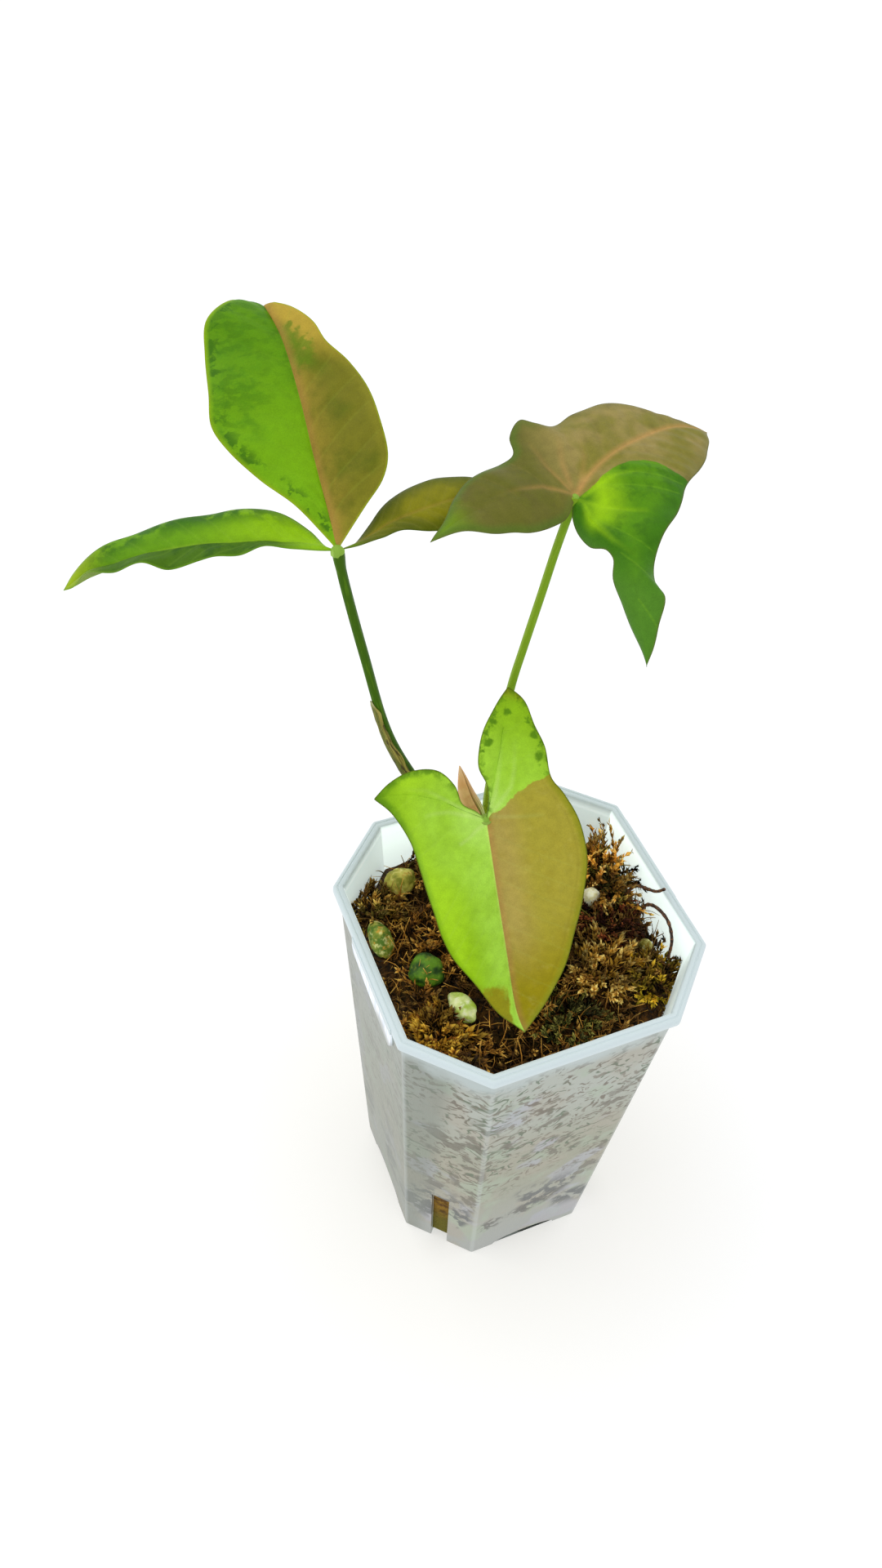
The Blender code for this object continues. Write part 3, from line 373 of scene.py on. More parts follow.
def half_blade(rib, half, lobe_steps, rib_steps, across):
    """The patches of one half: lobe vein to inner edge, and lobe vein and rib to the margin."""
    whole = np.linspace(0, 1, rib_steps + 1)
    spine = smooth_curve(rib, whole)
    if "vein" not in half:
        return [patch(spine, smooth_curve(half["outer"], whole), across)]
    part = np.linspace(0, 1, lobe_steps + 1)
    vein = smooth_curve(half["vein"], part)
    vein_run = np.linalg.norm(np.diff(vein, axis=0), axis=1).sum()
    rib_run = np.linalg.norm(np.diff(spine, axis=0), axis=1).sum()
    turn = vein_run / (vein_run + rib_run)
    margin = smooth_curve(half["outer"], np.concatenate([part * turn, (turn + (1 - turn) * whole)[1:]]))
    inner = smooth_curve(half["inner"], part)
    return [patch(vein, inner, across), patch(np.vstack([vein[::-1], spine[1:]]), margin, across)]


def unit(vectors):
    """Each vector divided by its length."""
    return vectors / np.maximum(np.linalg.norm(vectors, axis=-1, keepdims=True), 1e-9)


def step(low, high, values):
    """A smooth step: 0 below low, 1 above high, and 3u2 - 2u3 between them."""
    u = np.clip((values - low) / (high - low), 0.0, 1.0)
    return u * u * (3 - 2 * u)


def ripple(points, size, seed, octaves=3):
    """Smooth bumps of about -1 to 1: six sine waves on random headings, halved in each octave."""
    rng = np.random.default_rng(seed)
    total = np.zeros(points.shape[:-1])
    for octave in range(octaves):
        headings = unit(rng.normal(size=(6, 3)))
        turns = points @ headings.T * (2 * math.pi * 2**octave / size) + rng.uniform(0, 6.28, 6)
        total = total + np.sin(turns).sum(-1) * 0.5**octave / 3.5
    return total


def keep_values(mesh, key, values):
    """Stores one value at each point of a mesh."""
    layer = mesh.attributes.new(key, "FLOAT", "POINT")
    layer.data.foreach_set("value", np.ascontiguousarray(values, np.float32).ravel())


def put_mesh(name, points, faces, values=None):
    """An object at the origin from points in millimetres, arrays of faces and values at the points."""
    mesh = bpy.data.meshes.new(name)
    mesh.vertices.add(len(points))
    mesh.vertices.foreach_set("co", (np.asarray(points, float) * MM).astype(np.float32).ravel())
    faces = [np.asarray(block) for block in faces if len(block)]
    corners = np.concatenate([block.ravel() for block in faces])
    sizes = np.concatenate([np.full(len(block), block.shape[1]) for block in faces])
    mesh.loops.add(len(corners))
    mesh.loops.foreach_set("vertex_index", corners.astype(np.int32))
    mesh.polygons.add(len(sizes))
    mesh.polygons.foreach_set("loop_start", (np.cumsum(sizes) - sizes).astype(np.int32))
    for key, array in (values or {}).items():
        keep_values(mesh, key, array)
    mesh.update(calc_edges=True)
    mesh.validate()
    mesh.shade_smooth()
    obj = bpy.data.objects.new(name, mesh)
    bpy.context.scene.collection.objects.link(obj)
    return obj


def show(obj, finish, slot, *nodes):
    """Gives a piece its material, parents it to the body's empty and hides the imported nodes that it
    stands for. The slot is not used.
    """
    obj.data.materials.clear()
    obj.data.materials.append(finish)
    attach(obj, BODY)
    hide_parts(*nodes)


def grid_faces(rows, columns, wrap=False, first=0):
    """Four-sided faces of a grid whose points run row by row, closed round when it wraps."""
    i, j = np.meshgrid(np.arange(rows - 1), np.arange(columns if wrap else columns - 1), indexing="ij")
    a, b = i * columns + j, i * columns + (j + 1) % columns
    return first + np.stack([a, b, b + columns, a + columns], -1).reshape(-1, 4)


def capped_faces(rows, count):
    """Faces of a tube of rings, with a fan at each end round the two points that follow the rings."""
    k = np.arange(count)
    after, total = (k + 1) % count, rows * count
    low = np.stack([np.full(count, total), after, k], -1)
    high = np.stack([np.full(count, total + 1), total - count + k, total - count + after], -1)
    return [grid_faces(rows, count, True), low, high]


def halved(quads):
    """Each four-sided face as two triangles."""
    return np.vstack([quads[:, [0, 1, 2]], quads[:, [0, 2, 3]]])


def path_frame(line):
    """Across and over at each point of a path; across is square to the path and a fixed slant."""
    ahead = unit(np.gradient(line, axis=0))
    across = unit(np.cross(ahead, np.array([0.31, 0.92, 0.24])))
    return across, unit(np.cross(ahead, across))


def tube(path, radius, sides, steps, flute=None):
    """A closed tube: rings square to a smooth path, as wide as radius(t), with a pole at each end.
    flute(t, angle) multiplies the radius round each ring."""
    t = np.linspace(0.0, 1.0, steps + 1)
    line = smooth_curve(path, t)
    across, over = path_frame(line)
    angle = np.linspace(0, 2 * math.pi, sides, endpoint=False)
    wide = radius(t)[:, None] * (flute(t[:, None], angle[None, :]) if flute else np.ones((1, sides)))
    ring = line[:, None] + wide[..., None] * (
        np.cos(angle)[None, :, None] * across[:, None] + np.sin(angle)[None, :, None] * over[:, None]
    )
    points = np.vstack([ring.reshape(-1, 3), line[:1], line[-1:]])
    values = {
        "along": np.concatenate([np.repeat(t, sides), [0, 1]]),
        "around": np.concatenate([np.tile(angle / (2 * math.pi), steps + 1), [0, 0]]),
    }
    return points, capped_faces(steps + 1, sides), values


def join(parts):
    """Several (points, faces, values) as one, with the faces renumbered."""
    points, faces, values, first = [], [], {}, 0
    for part_points, part_faces, part_values in parts:
        points.append(part_points)
        faces += [np.asarray(block) + first for block in part_faces]
        for key, array in part_values.items():
            values.setdefault(key, []).append(array)
        first += len(part_points)
    return np.vstack(points), faces, {key: np.concatenate(arrays) for key, arrays in values.items()}


def face_normals(points, triangles):
    """Each triangle's normal, as long as twice its area."""
    a, b, c = (points[triangles[:, k]] for k in range(3))
    return np.cross(b - a, c - a)


def point_normals(points, triangles):
    """The normal at each point: the sum of its faces' normals, at length one."""
    face = face_normals(points, triangles)
    total = np.zeros_like(points)
    for k in range(3):
        np.add.at(total, triangles[:, k], face)
    return unit(total)


def to_lines(points, lines, signed=False):
    """Distance from each point to the nearest stretch of the lines; signed, it is positive on the left
    of the nearest stretch as seen from above."""
    best = np.full(len(points), 1e9)
    side = np.ones(len(points))
    for line in lines:
        line = np.asarray(line, float)
        for a, b in zip(line[:-1], line[1:]):
            run = b - a
            share = np.clip(((points - a) @ run) / max(run @ run, 1e-9), 0, 1)
            away = np.linalg.norm(points - a - share[:, None] * run, axis=1)
            near = away < best
            best = np.where(near, away, best)
            if signed:
                turn = run[0] * (points[:, 1] - a[1]) - run[1] * (points[:, 0] - a[0])
                side = np.where(near, np.where(turn >= 0, 1.0, -1.0), side)
    return best * side


def on_grid(grid, rows, columns):
    """Points of a grid at fractional rows and columns."""
    r0 = np.clip(np.floor(rows).astype(int), 0, grid.shape[0] - 2)
    c0 = np.clip(np.floor(columns).astype(int), 0, grid.shape[1] - 2)
    r, c = (rows - r0)[:, None], (columns - c0)[:, None]
    near = grid[r0, c0] * (1 - c) + grid[r0, c0 + 1] * c
    far = grid[r0 + 1, c0] * (1 - c) + grid[r0 + 1, c0 + 1] * c
    return near * (1 - r) + far * r


def side_veins(grid, first_row, count, slant):
    """Veins that leave the spine at even shares, bend towards the tip and stop short of the margin."""
    rows, columns = grid.shape[0] - 1 - first_row, grid.shape[1] - 1
    t = np.linspace(0.0, 0.94, 16)
    lines = []
    for k in range(count):
        share = 0.05 + 0.82 * k / count + slant * (t**0.8) * (1 - k / (count + 3.0))
        lines.append(on_grid(grid, first_row + np.clip(share, 0, 1) * rows, t * columns))
    for k in range(3 if first_row > 4 else 0):
        share = 0.15 + 0.25 * k + 0.5 * slant * t
        lines.append(on_grid(grid, first_row * (1 - np.clip(share, 0, 1)), t * columns))
    return lines


def weld(grids, signs):
    """The grids as one set of triangles whose shared points are the same points, with each point's sign.
    The two halves of a blade mirror each other, so the triangles of one are turned over."""
    points = np.concatenate([grid.reshape(-1, 3) for grid in grids])
    sign = np.concatenate([np.full(grid.shape[0] * grid.shape[1], s) for grid, s in zip(grids, signs)])
    triangles, first = [], 0
    for grid, s in zip(grids, signs):
        quads = grid_faces(grid.shape[0], grid.shape[1], False, first)
        triangles.append(halved(quads if s > 0 else quads[:, ::-1]))
        first += grid.shape[0] * grid.shape[1]
    triangles = np.concatenate(triangles)
    _, keep, index = np.unique(np.round(points, 3), axis=0, return_index=True, return_inverse=True)
    triangles = index.reshape(-1)[triangles]
    apart = (triangles != np.roll(triangles, 1, axis=1)).all(axis=1)
    points, triangles = points[keep], triangles[apart]
    if face_normals(points, triangles)[:, 2].sum() < 0:
        triangles = triangles[:, ::-1]
    return points, triangles, sign[keep]


def open_edges(triangles):
    """The directed edges that only one triangle has."""
    edges = np.concatenate([triangles[:, [0, 1]], triangles[:, [1, 2]], triangles[:, [2, 0]]])
    key = np.sort(edges, axis=1)
    _, index, counts = np.unique(key, axis=0, return_index=True, return_counts=True)
    return edges[index[counts == 1]]


def two_faced(points, triangles, normals, thick, values):
    """A closed blade: the surface pushed up and down by half its thickness, joined round its margin."""
    count = len(points)
    rim = open_edges(triangles)
    wall = np.stack([rim[:, 1], rim[:, 0], rim[:, 0] + count, rim[:, 1] + count], -1)
    offset = normals * thick[:, None] / 2
    both = np.vstack([points + offset, points - offset])
    doubled = {key: np.concatenate([array, array]) for key, array in values.items()}
    doubled["under"] = np.concatenate([np.zeros(count), np.ones(count)])
    return both, [np.vstack([triangles, triangles[:, ::-1] + count]), wall], doubled


def blade(name, shape, joint, steps, veins, bound, ruffle):
    """One blade: rays from the rib and the lobe veins to the margin, crowned between them, grooved
    along the rib, raised between the side veins and rippled near the margin. Its values are the
    distances to rib, margin, side veins and drawn veins, and the signed distance to a colour bound."""
    lobe_steps, rib_steps, across = steps
    grids, signs, laterals = [], [], []
    for sign, half in zip((-1.0, 1.0), shape["halves"]):
        patches = half_blade(shape["rib"], half, lobe_steps, rib_steps, across)
        grids += patches
        signs += [sign] * len(patches)
        laterals += side_veins(patches[-1], lobe_steps if "vein" in half else 0, 8, 0.2)
    points, triangles, sign = weld(grids, signs)
    margin = open_edges(triangles)
    rib = smooth_curve(shape["rib"], np.linspace(0, 1, 60))
    reach = np.linalg.norm(points, axis=1)
    side = to_lines(points, [rib])
    edge = to_lines(points, [points[pair] for pair in margin[:: max(1, len(margin) // 500)]])
    fine = to_lines(points, laterals)
    drawn = to_lines(points, veins) if veins else np.full(len(points), FAR)
    zone = np.full(len(points), FAR)
    if bound:
        ends = np.asarray(bound, float)
        before, after = 20 * unit(ends[1] - ends[0]), 20 * unit(ends[-1] - ends[-2])
        ends = np.vstack([ends[0] - before, ends, ends[-1] + after])
        zone = to_lines(points * (1, 1, 0), [ends * (1, 1, 0)], True)
    normals = point_normals(points, triangles)
    calm = step(0.5, 5.0, reach) * step(0.0, 2.5, edge)
    rise = 0.16 * step(0.1, 1.5, np.minimum(fine, side)) - 0.22 * np.exp(-((side / 0.5) ** 2))
    rise = rise - 0.10 * np.exp(-((drawn / 0.4) ** 2))
    wave = ruffle * ripple(points, 15.0, len(name), 2) * (1 - step(0.0, 7.0, edge)) * step(4.0, 12.0, reach)
    points = points + normals * (rise * calm + wave)[:, None]
    thick = 0.1 + 0.24 * step(0.0, 0.9, edge) + 0.5 * np.exp(-((side / 0.7) ** 2)) * step(0, 2, edge)
    values = {"side": side * sign, "edge": edge, "fine": fine, "drawn": drawn, "zone": zone, "reach": reach}
    points, faces, values = two_faced(points, triangles, normals, thick, values)
    return put_mesh(name, points + np.array(joint), faces, values)


def rounded_octagon(half, cut, turn_radius, per_corner=5, per_side=6):
    """The outline of a square with cut, rounded corners: arcs that touch both sides of each corner,
    with points between the arcs, anticlockwise from the +X side's lower corner."""
    flat = half - cut
    corners = np.array([
        (half, -flat), (half, flat), (flat, half), (-flat, half),
        (-half, flat), (-half, -flat), (-flat, -half), (flat, -half),
    ])
    before = unit(corners - np.roll(corners, 1, axis=0))
    after = unit(np.roll(corners, -1, axis=0) - corners)
    reach = turn_radius * math.tan(math.pi / 8)
    start = corners - before * reach
    centre = start + np.stack([-before[:, 1], before[:, 0]], -1) * turn_radius
    angle = np.arctan2(-before[:, 0], before[:, 1])[:, None] + np.linspace(0, math.pi / 4, per_corner)[None]
    arc = centre[:, None] + turn_radius * np.stack([np.cos(angle), np.sin(angle)], -1)
    leave = corners + after * reach
    arrive = np.roll(start, -1, axis=0)
    t = (np.arange(1, per_side) / per_side)[None, :, None]
    run = leave[:, None] * (1 - t) + arrive[:, None] * t
    return np.concatenate([arc, run], axis=1).reshape(-1, 2)


def outer_wall(share):
    """Half width and corner cut of the pot's outer wall, at a share of its height."""
    return BASE_HALF + (NECK_HALF - BASE_HALF) * share, BASE_CUT + (NECK_CUT - BASE_CUT) * share


def inner_half(z):
    """Half the width between the pot's inner walls at a height."""
    return BASE_HALF - WALL + (RIM_HALF - RIM_WIDTH - BASE_HALF + WALL) * (z - FLOOR) / (POT_HEIGHT - FLOOR)


def pot_profile():
    """The wall's profile as (half width, corner cut, height, corner radius): up the outside, over the
    rim with its two fine ridges, down the inside and in over the floor."""
    neck = POT_HEIGHT - RIM_DROP - 0.5
    cut_top = RIM_CUT - CUT_SHARE * RIM_WIDTH
    rows = [(BASE_HALF - 0.5, BASE_CUT - 0.3, 0.0, 0.8), (BASE_HALF, BASE_CUT, 0.5, 1.0)]
    rows += [(*outer_wall(z / neck), z, 1.0) for z in np.linspace(0.5, neck, 26)[1:]]
    top = POT_HEIGHT
    rim = [
        (NECK_HALF + 0.15, neck + 0.2), (RIM_HALF - 0.35, top - RIM_DROP + 0.02),
        (RIM_HALF - 0.05, top - RIM_DROP + 0.35), (RIM_HALF, top - 1.5), (RIM_HALF - 0.05, top - 0.5),
        (RIM_HALF - 0.3, top - 0.12), (RIM_HALF - 0.6, top), (RIM_HALF - 0.85, top - 0.03),
        (RIM_HALF - 0.95, top - 0.16), (RIM_HALF - 1.1, top - 0.16), (RIM_HALF - 1.25, top - 0.03),
        (RIM_HALF - 1.75, top - 0.02), (RIM_HALF - 2.05, top - 0.14), (RIM_HALF - 2.3, top - 0.5),
        (RIM_HALF - RIM_WIDTH - 0.02, top - 1.1),
    ]
    for half, z in rim:
        share = (RIM_HALF - half) / RIM_WIDTH
        rows.append((half, RIM_CUT + (cut_top - RIM_CUT) * share, z, 1.1 - 0.5 * min(1, share)))
    for z in np.linspace(POT_HEIGHT - 2.0, FLOOR + 0.6, 24):
        share = (z - FLOOR) / (POT_HEIGHT - FLOOR)
        rows.append((inner_half(z), INNER_CUT + (cut_top - INNER_CUT) * share, z, 0.6))
    rows.append((inner_half(FLOOR) - 0.5, INNER_CUT - 0.2, FLOOR, 0.5))
    return rows


def loft(rings):
    """A closed solid through rings of equal count, with a pole at the middle of the first and the last."""
    rings = np.asarray(rings, float)
    points = np.vstack([rings.reshape(-1, 3), rings[0].mean(0), rings[-1].mean(0)])
    return points, capped_faces(*rings.shape[:2]), {}


def ball(rows, columns):
    """A round ball: x = sin u cos v, y = sin u sin v, z = -cos u, with u from pole to pole."""
    u, v = np.linspace(0, math.pi, rows)[1:-1], np.linspace(0, 2 * math.pi, columns, endpoint=False)
    u, v = np.meshgrid(u, v, indexing="ij")
    points, faces, values = loft(np.stack([np.sin(u) * np.cos(v), np.sin(u) * np.sin(v), -np.cos(u)], -1))
    points[-2:] = [(0, 0, -1), (0, 0, 1)]
    return points, faces, values


def turned(part, degrees):
    """A part turned about the pot's axis."""
    points, faces, values = part
    c, s = math.cos(math.radians(degrees)), math.sin(math.radians(degrees))
    return points @ np.array([[c, s, 0], [-s, c, 0], [0, 0, 1]]), faces, values


def channel(grow, foot, start):
    """Half an arch that runs in from the middle of the +X side and sinks to nothing."""
    share = np.array([0.0, 0.3, 0.5, 0.7, 0.85, 0.94, 1.0])
    fall = np.sqrt(np.maximum(0.0, 1 - share**2))
    reach = start + (BASE_HALF - CHANNEL_LENGTH - grow - start) * share
    tall = CHANNEL_HEIGHT * np.maximum(fall, 0.08) + grow
    wide = CHANNEL_HALF * (0.55 + 0.45 * fall) + grow
    arch = np.linspace(0, math.pi, 17)
    y = -wide[:, None] * np.cos(arch)
    z = np.maximum(tall[:, None] * np.maximum(np.sin(arch), 0) ** 0.8, foot)
    return loft(np.stack([np.repeat(reach[:, None], 17, 1), y, z], -1))


def block(x0, x1, y0, y1, z0, z1):
    """A plain box, for cutting."""
    ring = [(x0, y0), (x1, y0), (x1, y1), (x0, y1)]
    return loft([[(x, y, z) for x, y in ring] for z in (z0, z1)])


def hand_tab():
    """The skirt that hangs from the rim on -X: a thin plate with a slanted, rounded lower edge."""
    outer = -RIM_HALF - 0.2
    top = POT_HEIGHT - 0.8
    y = np.linspace(TAB_NEAR, TAB_FAR, 25)
    share = (y - TAB_NEAR) / (TAB_FAR - TAB_NEAR)
    low = POT_HEIGHT - TAB_DROP_NEAR + (TAB_DROP_NEAR - TAB_DROP_FAR) * share
    low = low + 1.6 * (1 - step(0, 0.05, share)) + 1.6 * step(0.95, 1.0, share)
    corners = ((outer + 1.0, low), (outer + 0.2, low), (outer, low + 0.3), (outer, top), (outer + 1.0, top))
    return loft(np.stack([np.stack(np.broadcast_arrays(x, y, z), -1) for x, z in corners], 1))


def boolean(obj, parts, operation):
    """Cuts or joins closed parts with the exact solver and keeps the result as the object's mesh."""
    group = bpy.data.collections.new(obj.name + "_" + operation.lower())
    bpy.context.scene.collection.children.link(group)
    others = []
    for number, part in enumerate(parts):
        other = put_mesh(f"{obj.name}_{number}", *part)
        bpy.context.scene.collection.objects.unlink(other)
        group.objects.link(other)
        others.append(other)
    modifier = obj.modifiers.new(operation.title(), "BOOLEAN")
    modifier.operation = operation
    modifier.operand_type = "COLLECTION"
    modifier.collection = group
    modifier.solver = "EXACT"
    bpy.context.view_layer.update()
    made = bpy.data.meshes.new_from_object(obj.evaluated_get(bpy.context.evaluated_depsgraph_get()))
    obj.modifiers.clear()
    obj.data = made
    for other in others:
        bpy.data.objects.remove(other, do_unlink=True)
    bpy.data.collections.remove(group)
    if not len(made.vertices):
        raise RuntimeError(f"{obj.name}: {operation.lower()} left nothing")


def pot_mesh():
    """The moulded pot: the profile carried round a rounded octagon, with tabs and drain humps joined
    and the channels and corner slits cut out."""
    rings = []
    for half, cut, z, radius in pot_profile():
        outline = rounded_octagon(half, cut, radius)
        rings.append(np.column_stack([outline, np.full(len(outline), z)]))
    obj = put_mesh("pot_shell", *loft(rings))
    turns = (0, 90, 180, 270)
    tab = hand_tab()
    humps = [turned(channel(WALL, 0.4, BASE_HALF - 0.5 * WALL), turn) for turn in turns]
    boolean(obj, humps + [tab, turned(tab, 180)], "UNION")
    reach = (2 * BASE_HALF - BASE_CUT) / math.sqrt(2)
    slit = block(reach - 4.0, reach + 8.0, -SLIT_WIDTH / 2, SLIT_WIDTH / 2, -1.0, SLIT_HEIGHT)
    cuts = [turned(channel(0.0, -1.0, BASE_HALF + 2.0), turn) for turn in turns]
    cuts += [turned(slit, turn + 45) for turn in turns]
    boolean(obj, cuts, "DIFFERENCE")
    mesh = obj.data
    co = np.empty(len(mesh.vertices) * 3, np.float32)
    mesh.vertices.foreach_get("co", co)
    x, y, z = np.abs(co.reshape(-1, 3) / MM).T
    half, cut = outer_wall(z / POT_HEIGHT)
    away = np.maximum(np.maximum(x, y) - half, (x + y - (2 * half - cut)) / math.sqrt(2))
    corner = np.minimum(np.hypot(x - half, y - half + cut), np.hypot(x - half + cut, y - half))
    keep_values(mesh, "depth", -away)
    keep_values(mesh, "corner", corner)
    mesh.shade_smooth()
    mesh.set_sharp_from_angle(angle=math.radians(35))
    return obj


def bed_level(x, y):
    """Height of the moss: a mound with hummocks, levelled under each tuft and round the stem."""
    level = MOSS_LEVEL + MOSS_MOUND * np.exp(-(x * x + (y - 4) ** 2) / 420)
    level = level + 1.1 * np.sin(x / 3.9 + 1.3) * np.cos(y / 3.6 + 0.4) + 0.7 * np.sin(x / 2.2 + y / 2.9)
    level = level - 3.0 * np.exp(-((x + 8) ** 2 + (y + 24) ** 2) / 50)
    level = level + 2.5 * np.exp(-((x - 24) ** 2 + (y - 8) ** 2) / 90)
    seats = [(place, seat + 0.4, radius) for place, seat, radius, *_ in TUFTS.values()]
    seats.append((STEM, MOSS_LEVEL + 1.0, PIT_RADIUS))
    for (cx, cy), height, radius in seats:
        near = np.clip((radius + 5.0 - np.hypot(x - cx, y - cy)) / 3.0, 0.0, 1.0)
        share = near * near * (3 - 2 * near)
        level = level * (1 - share) + height * share
    return level


def inside_reach(x, y, margin):
    """A point's distance from the pot's axis as a share of the inner wall's, less a margin: 1 on it."""
    half = inner_half(WALL_LEVEL) - margin
    x, y = np.abs(x), np.abs(y)
    return np.maximum(np.maximum(x, y) / half, (x + y) / (2 * half - INNER_CUT))


def shoots(rng, roots, headings, lengths, bend, radius, leaflets, leaf, tint=None):
    """Curved tapering strands, many at once. Each follows an arc from its root along its heading,
    turned by its bend about a random axis; spindle leaflets stand round it at the golden angle."""
    count = len(roots)
    ahead = unit(headings)
    sidey = unit(np.cross(ahead, rng.normal(size=(count, 3))))
    third = np.cross(ahead, sidey)
    bend = np.where(np.abs(bend) < 0.05, 0.05, bend)[:, None]
    wave = rng.uniform(-0.06, 0.06, (count, 1))

    def at(t):
        turn = bend * t
        along = np.sin(turn) / bend
        out = (1 - np.cos(turn)) / bend
        place = along[..., None] * ahead[:, None] + out[..., None] * sidey[:, None]
        place = place + (wave * np.sin(5 * t))[..., None] * third[:, None]
        return roots[:, None] + lengths[:, None, None] * place

    def heading(t):
        turn = bend * t
        return np.cos(turn)[..., None] * ahead[:, None] + np.sin(turn)[..., None] * sidey[:, None]

    t = np.linspace(0, 1, STRAND_RINGS)[None]
    line, tangent = at(t), heading(t)
    over = np.cross(tangent, third[:, None])
    angle = np.array([0.0, 2.0944, 4.1888])[None, None, :, None]
    wide = (radius[:, None] * (1 - 0.65 * t**1.5))[..., None, None]
    ring = np.cos(angle) * over[:, :, None] + np.sin(angle) * third[:, None, None]
    points = (line[:, :, None] + wide * ring).reshape(-1, 3)
    per = STRAND_RINGS * 3
    base = (np.arange(count) * per)[:, None, None]
    faces = (base + grid_faces(STRAND_RINGS, 3, True)[None, :, ::-1]).reshape(-1, 4)
    ends = (base + np.array([[0, 1, 2], [per - 1, per - 2, per - 3]])[None]).reshape(-1, 3)
    tint = rng.random(count) if tint is None else tint
    values = {"along": np.tile(np.repeat(t[0], 3), count), "tint": np.repeat(tint, per)}
    parts = [(points, [faces, ends], values)]
    if leaflets:
        at_t = np.tile(np.linspace(0.3, 1.0, leaflets), (count, 1))
        at_t = np.clip(at_t + rng.uniform(-0.03, 0.03, at_t.shape), 0, 1)
        place, tangent = at(at_t), heading(at_t)
        over = np.cross(tangent, third[:, None])
        turn = np.arange(leaflets) * GOLDEN_ANGLE + rng.uniform(0, 6.28, (count, 1))
        radial = np.cos(turn)[..., None] * over + np.sin(turn)[..., None] * third[:, None]
        open_by = rng.uniform(0.3, 0.95, at_t.shape)[..., None] * (1.15 - 0.5 * at_t[..., None])
        out = unit(np.cos(open_by) * tangent + np.sin(open_by) * radial)
        flat = unit(np.cross(out, radial + 0.01))
        thick = np.cross(out, flat)
        size = leaf * rng.uniform(0.6, 1.15, at_t.shape)[..., None] * (1.1 - 0.45 * at_t[..., None])
        middle = place + out * size * 0.45 + thick * size * 0.06
        tip = place + out * size - radial * size * 0.08
        wide, high = flat * size * 0.2, thick * size * 0.08
        corners = np.stack([place, middle + wide, middle - wide, middle + high, tip], 2).reshape(-1, 3)
        first = (np.arange(count * leaflets) * 5)[:, None, None]
        spindle = np.array([[0, 1, 2], [0, 3, 1], [0, 2, 3], [4, 2, 1], [4, 1, 3], [4, 3, 2]])
        along = np.stack([at_t * 0.7, at_t * 0.85, at_t * 0.85, at_t * 0.85, np.minimum(at_t + 0.3, 1.15)], 2)
        values = {"along": along.ravel(), "tint": np.repeat(tint, leaflets * 5)}
        parts.append((corners, [(first + spindle[None]).reshape(-1, 3)], values))
    return join(parts)


def put_strands(name, strands):
    """An object of strands, each point drawn in until it clears the pot's inner wall."""
    points, faces, values = strands
    return put_mesh(name, inside_pot(points, STRAND_GAP), faces, values)


def inside_pot(points, margin):
    """Points drawn in towards the pot's axis until they clear its inner wall."""
    over = np.maximum(inside_reach(points[:, 0], points[:, 1], margin), 1.0)[:, None]
    return points / np.hstack([over, over, np.ones_like(over)])


# ---------------------------------------------------------------- finishes

SHADER_SOCKETS = {
    "colour": "Base Color", "rough": "Roughness", "normal": "Normal", "metal": "Metallic",
    "specular": "Specular IOR Level", "ior": "IOR", "coat": "Coat Weight", "coat_rough": "Coat Roughness",
    "glow": "Emission Color", "glow_strength": "Emission Strength",
}


def tone(red, green, blue):
    """A colour given as it shows on a screen, 0 to 255, turned to the linear values that shaders use."""
    shares = np.array([red, green, blue]) / 255.0
    linear = np.where(shares <= 0.04045, shares / 12.92, ((shares + 0.055) / 1.055) ** 2.4)
    return tuple(round(float(value), 4) for value in linear)


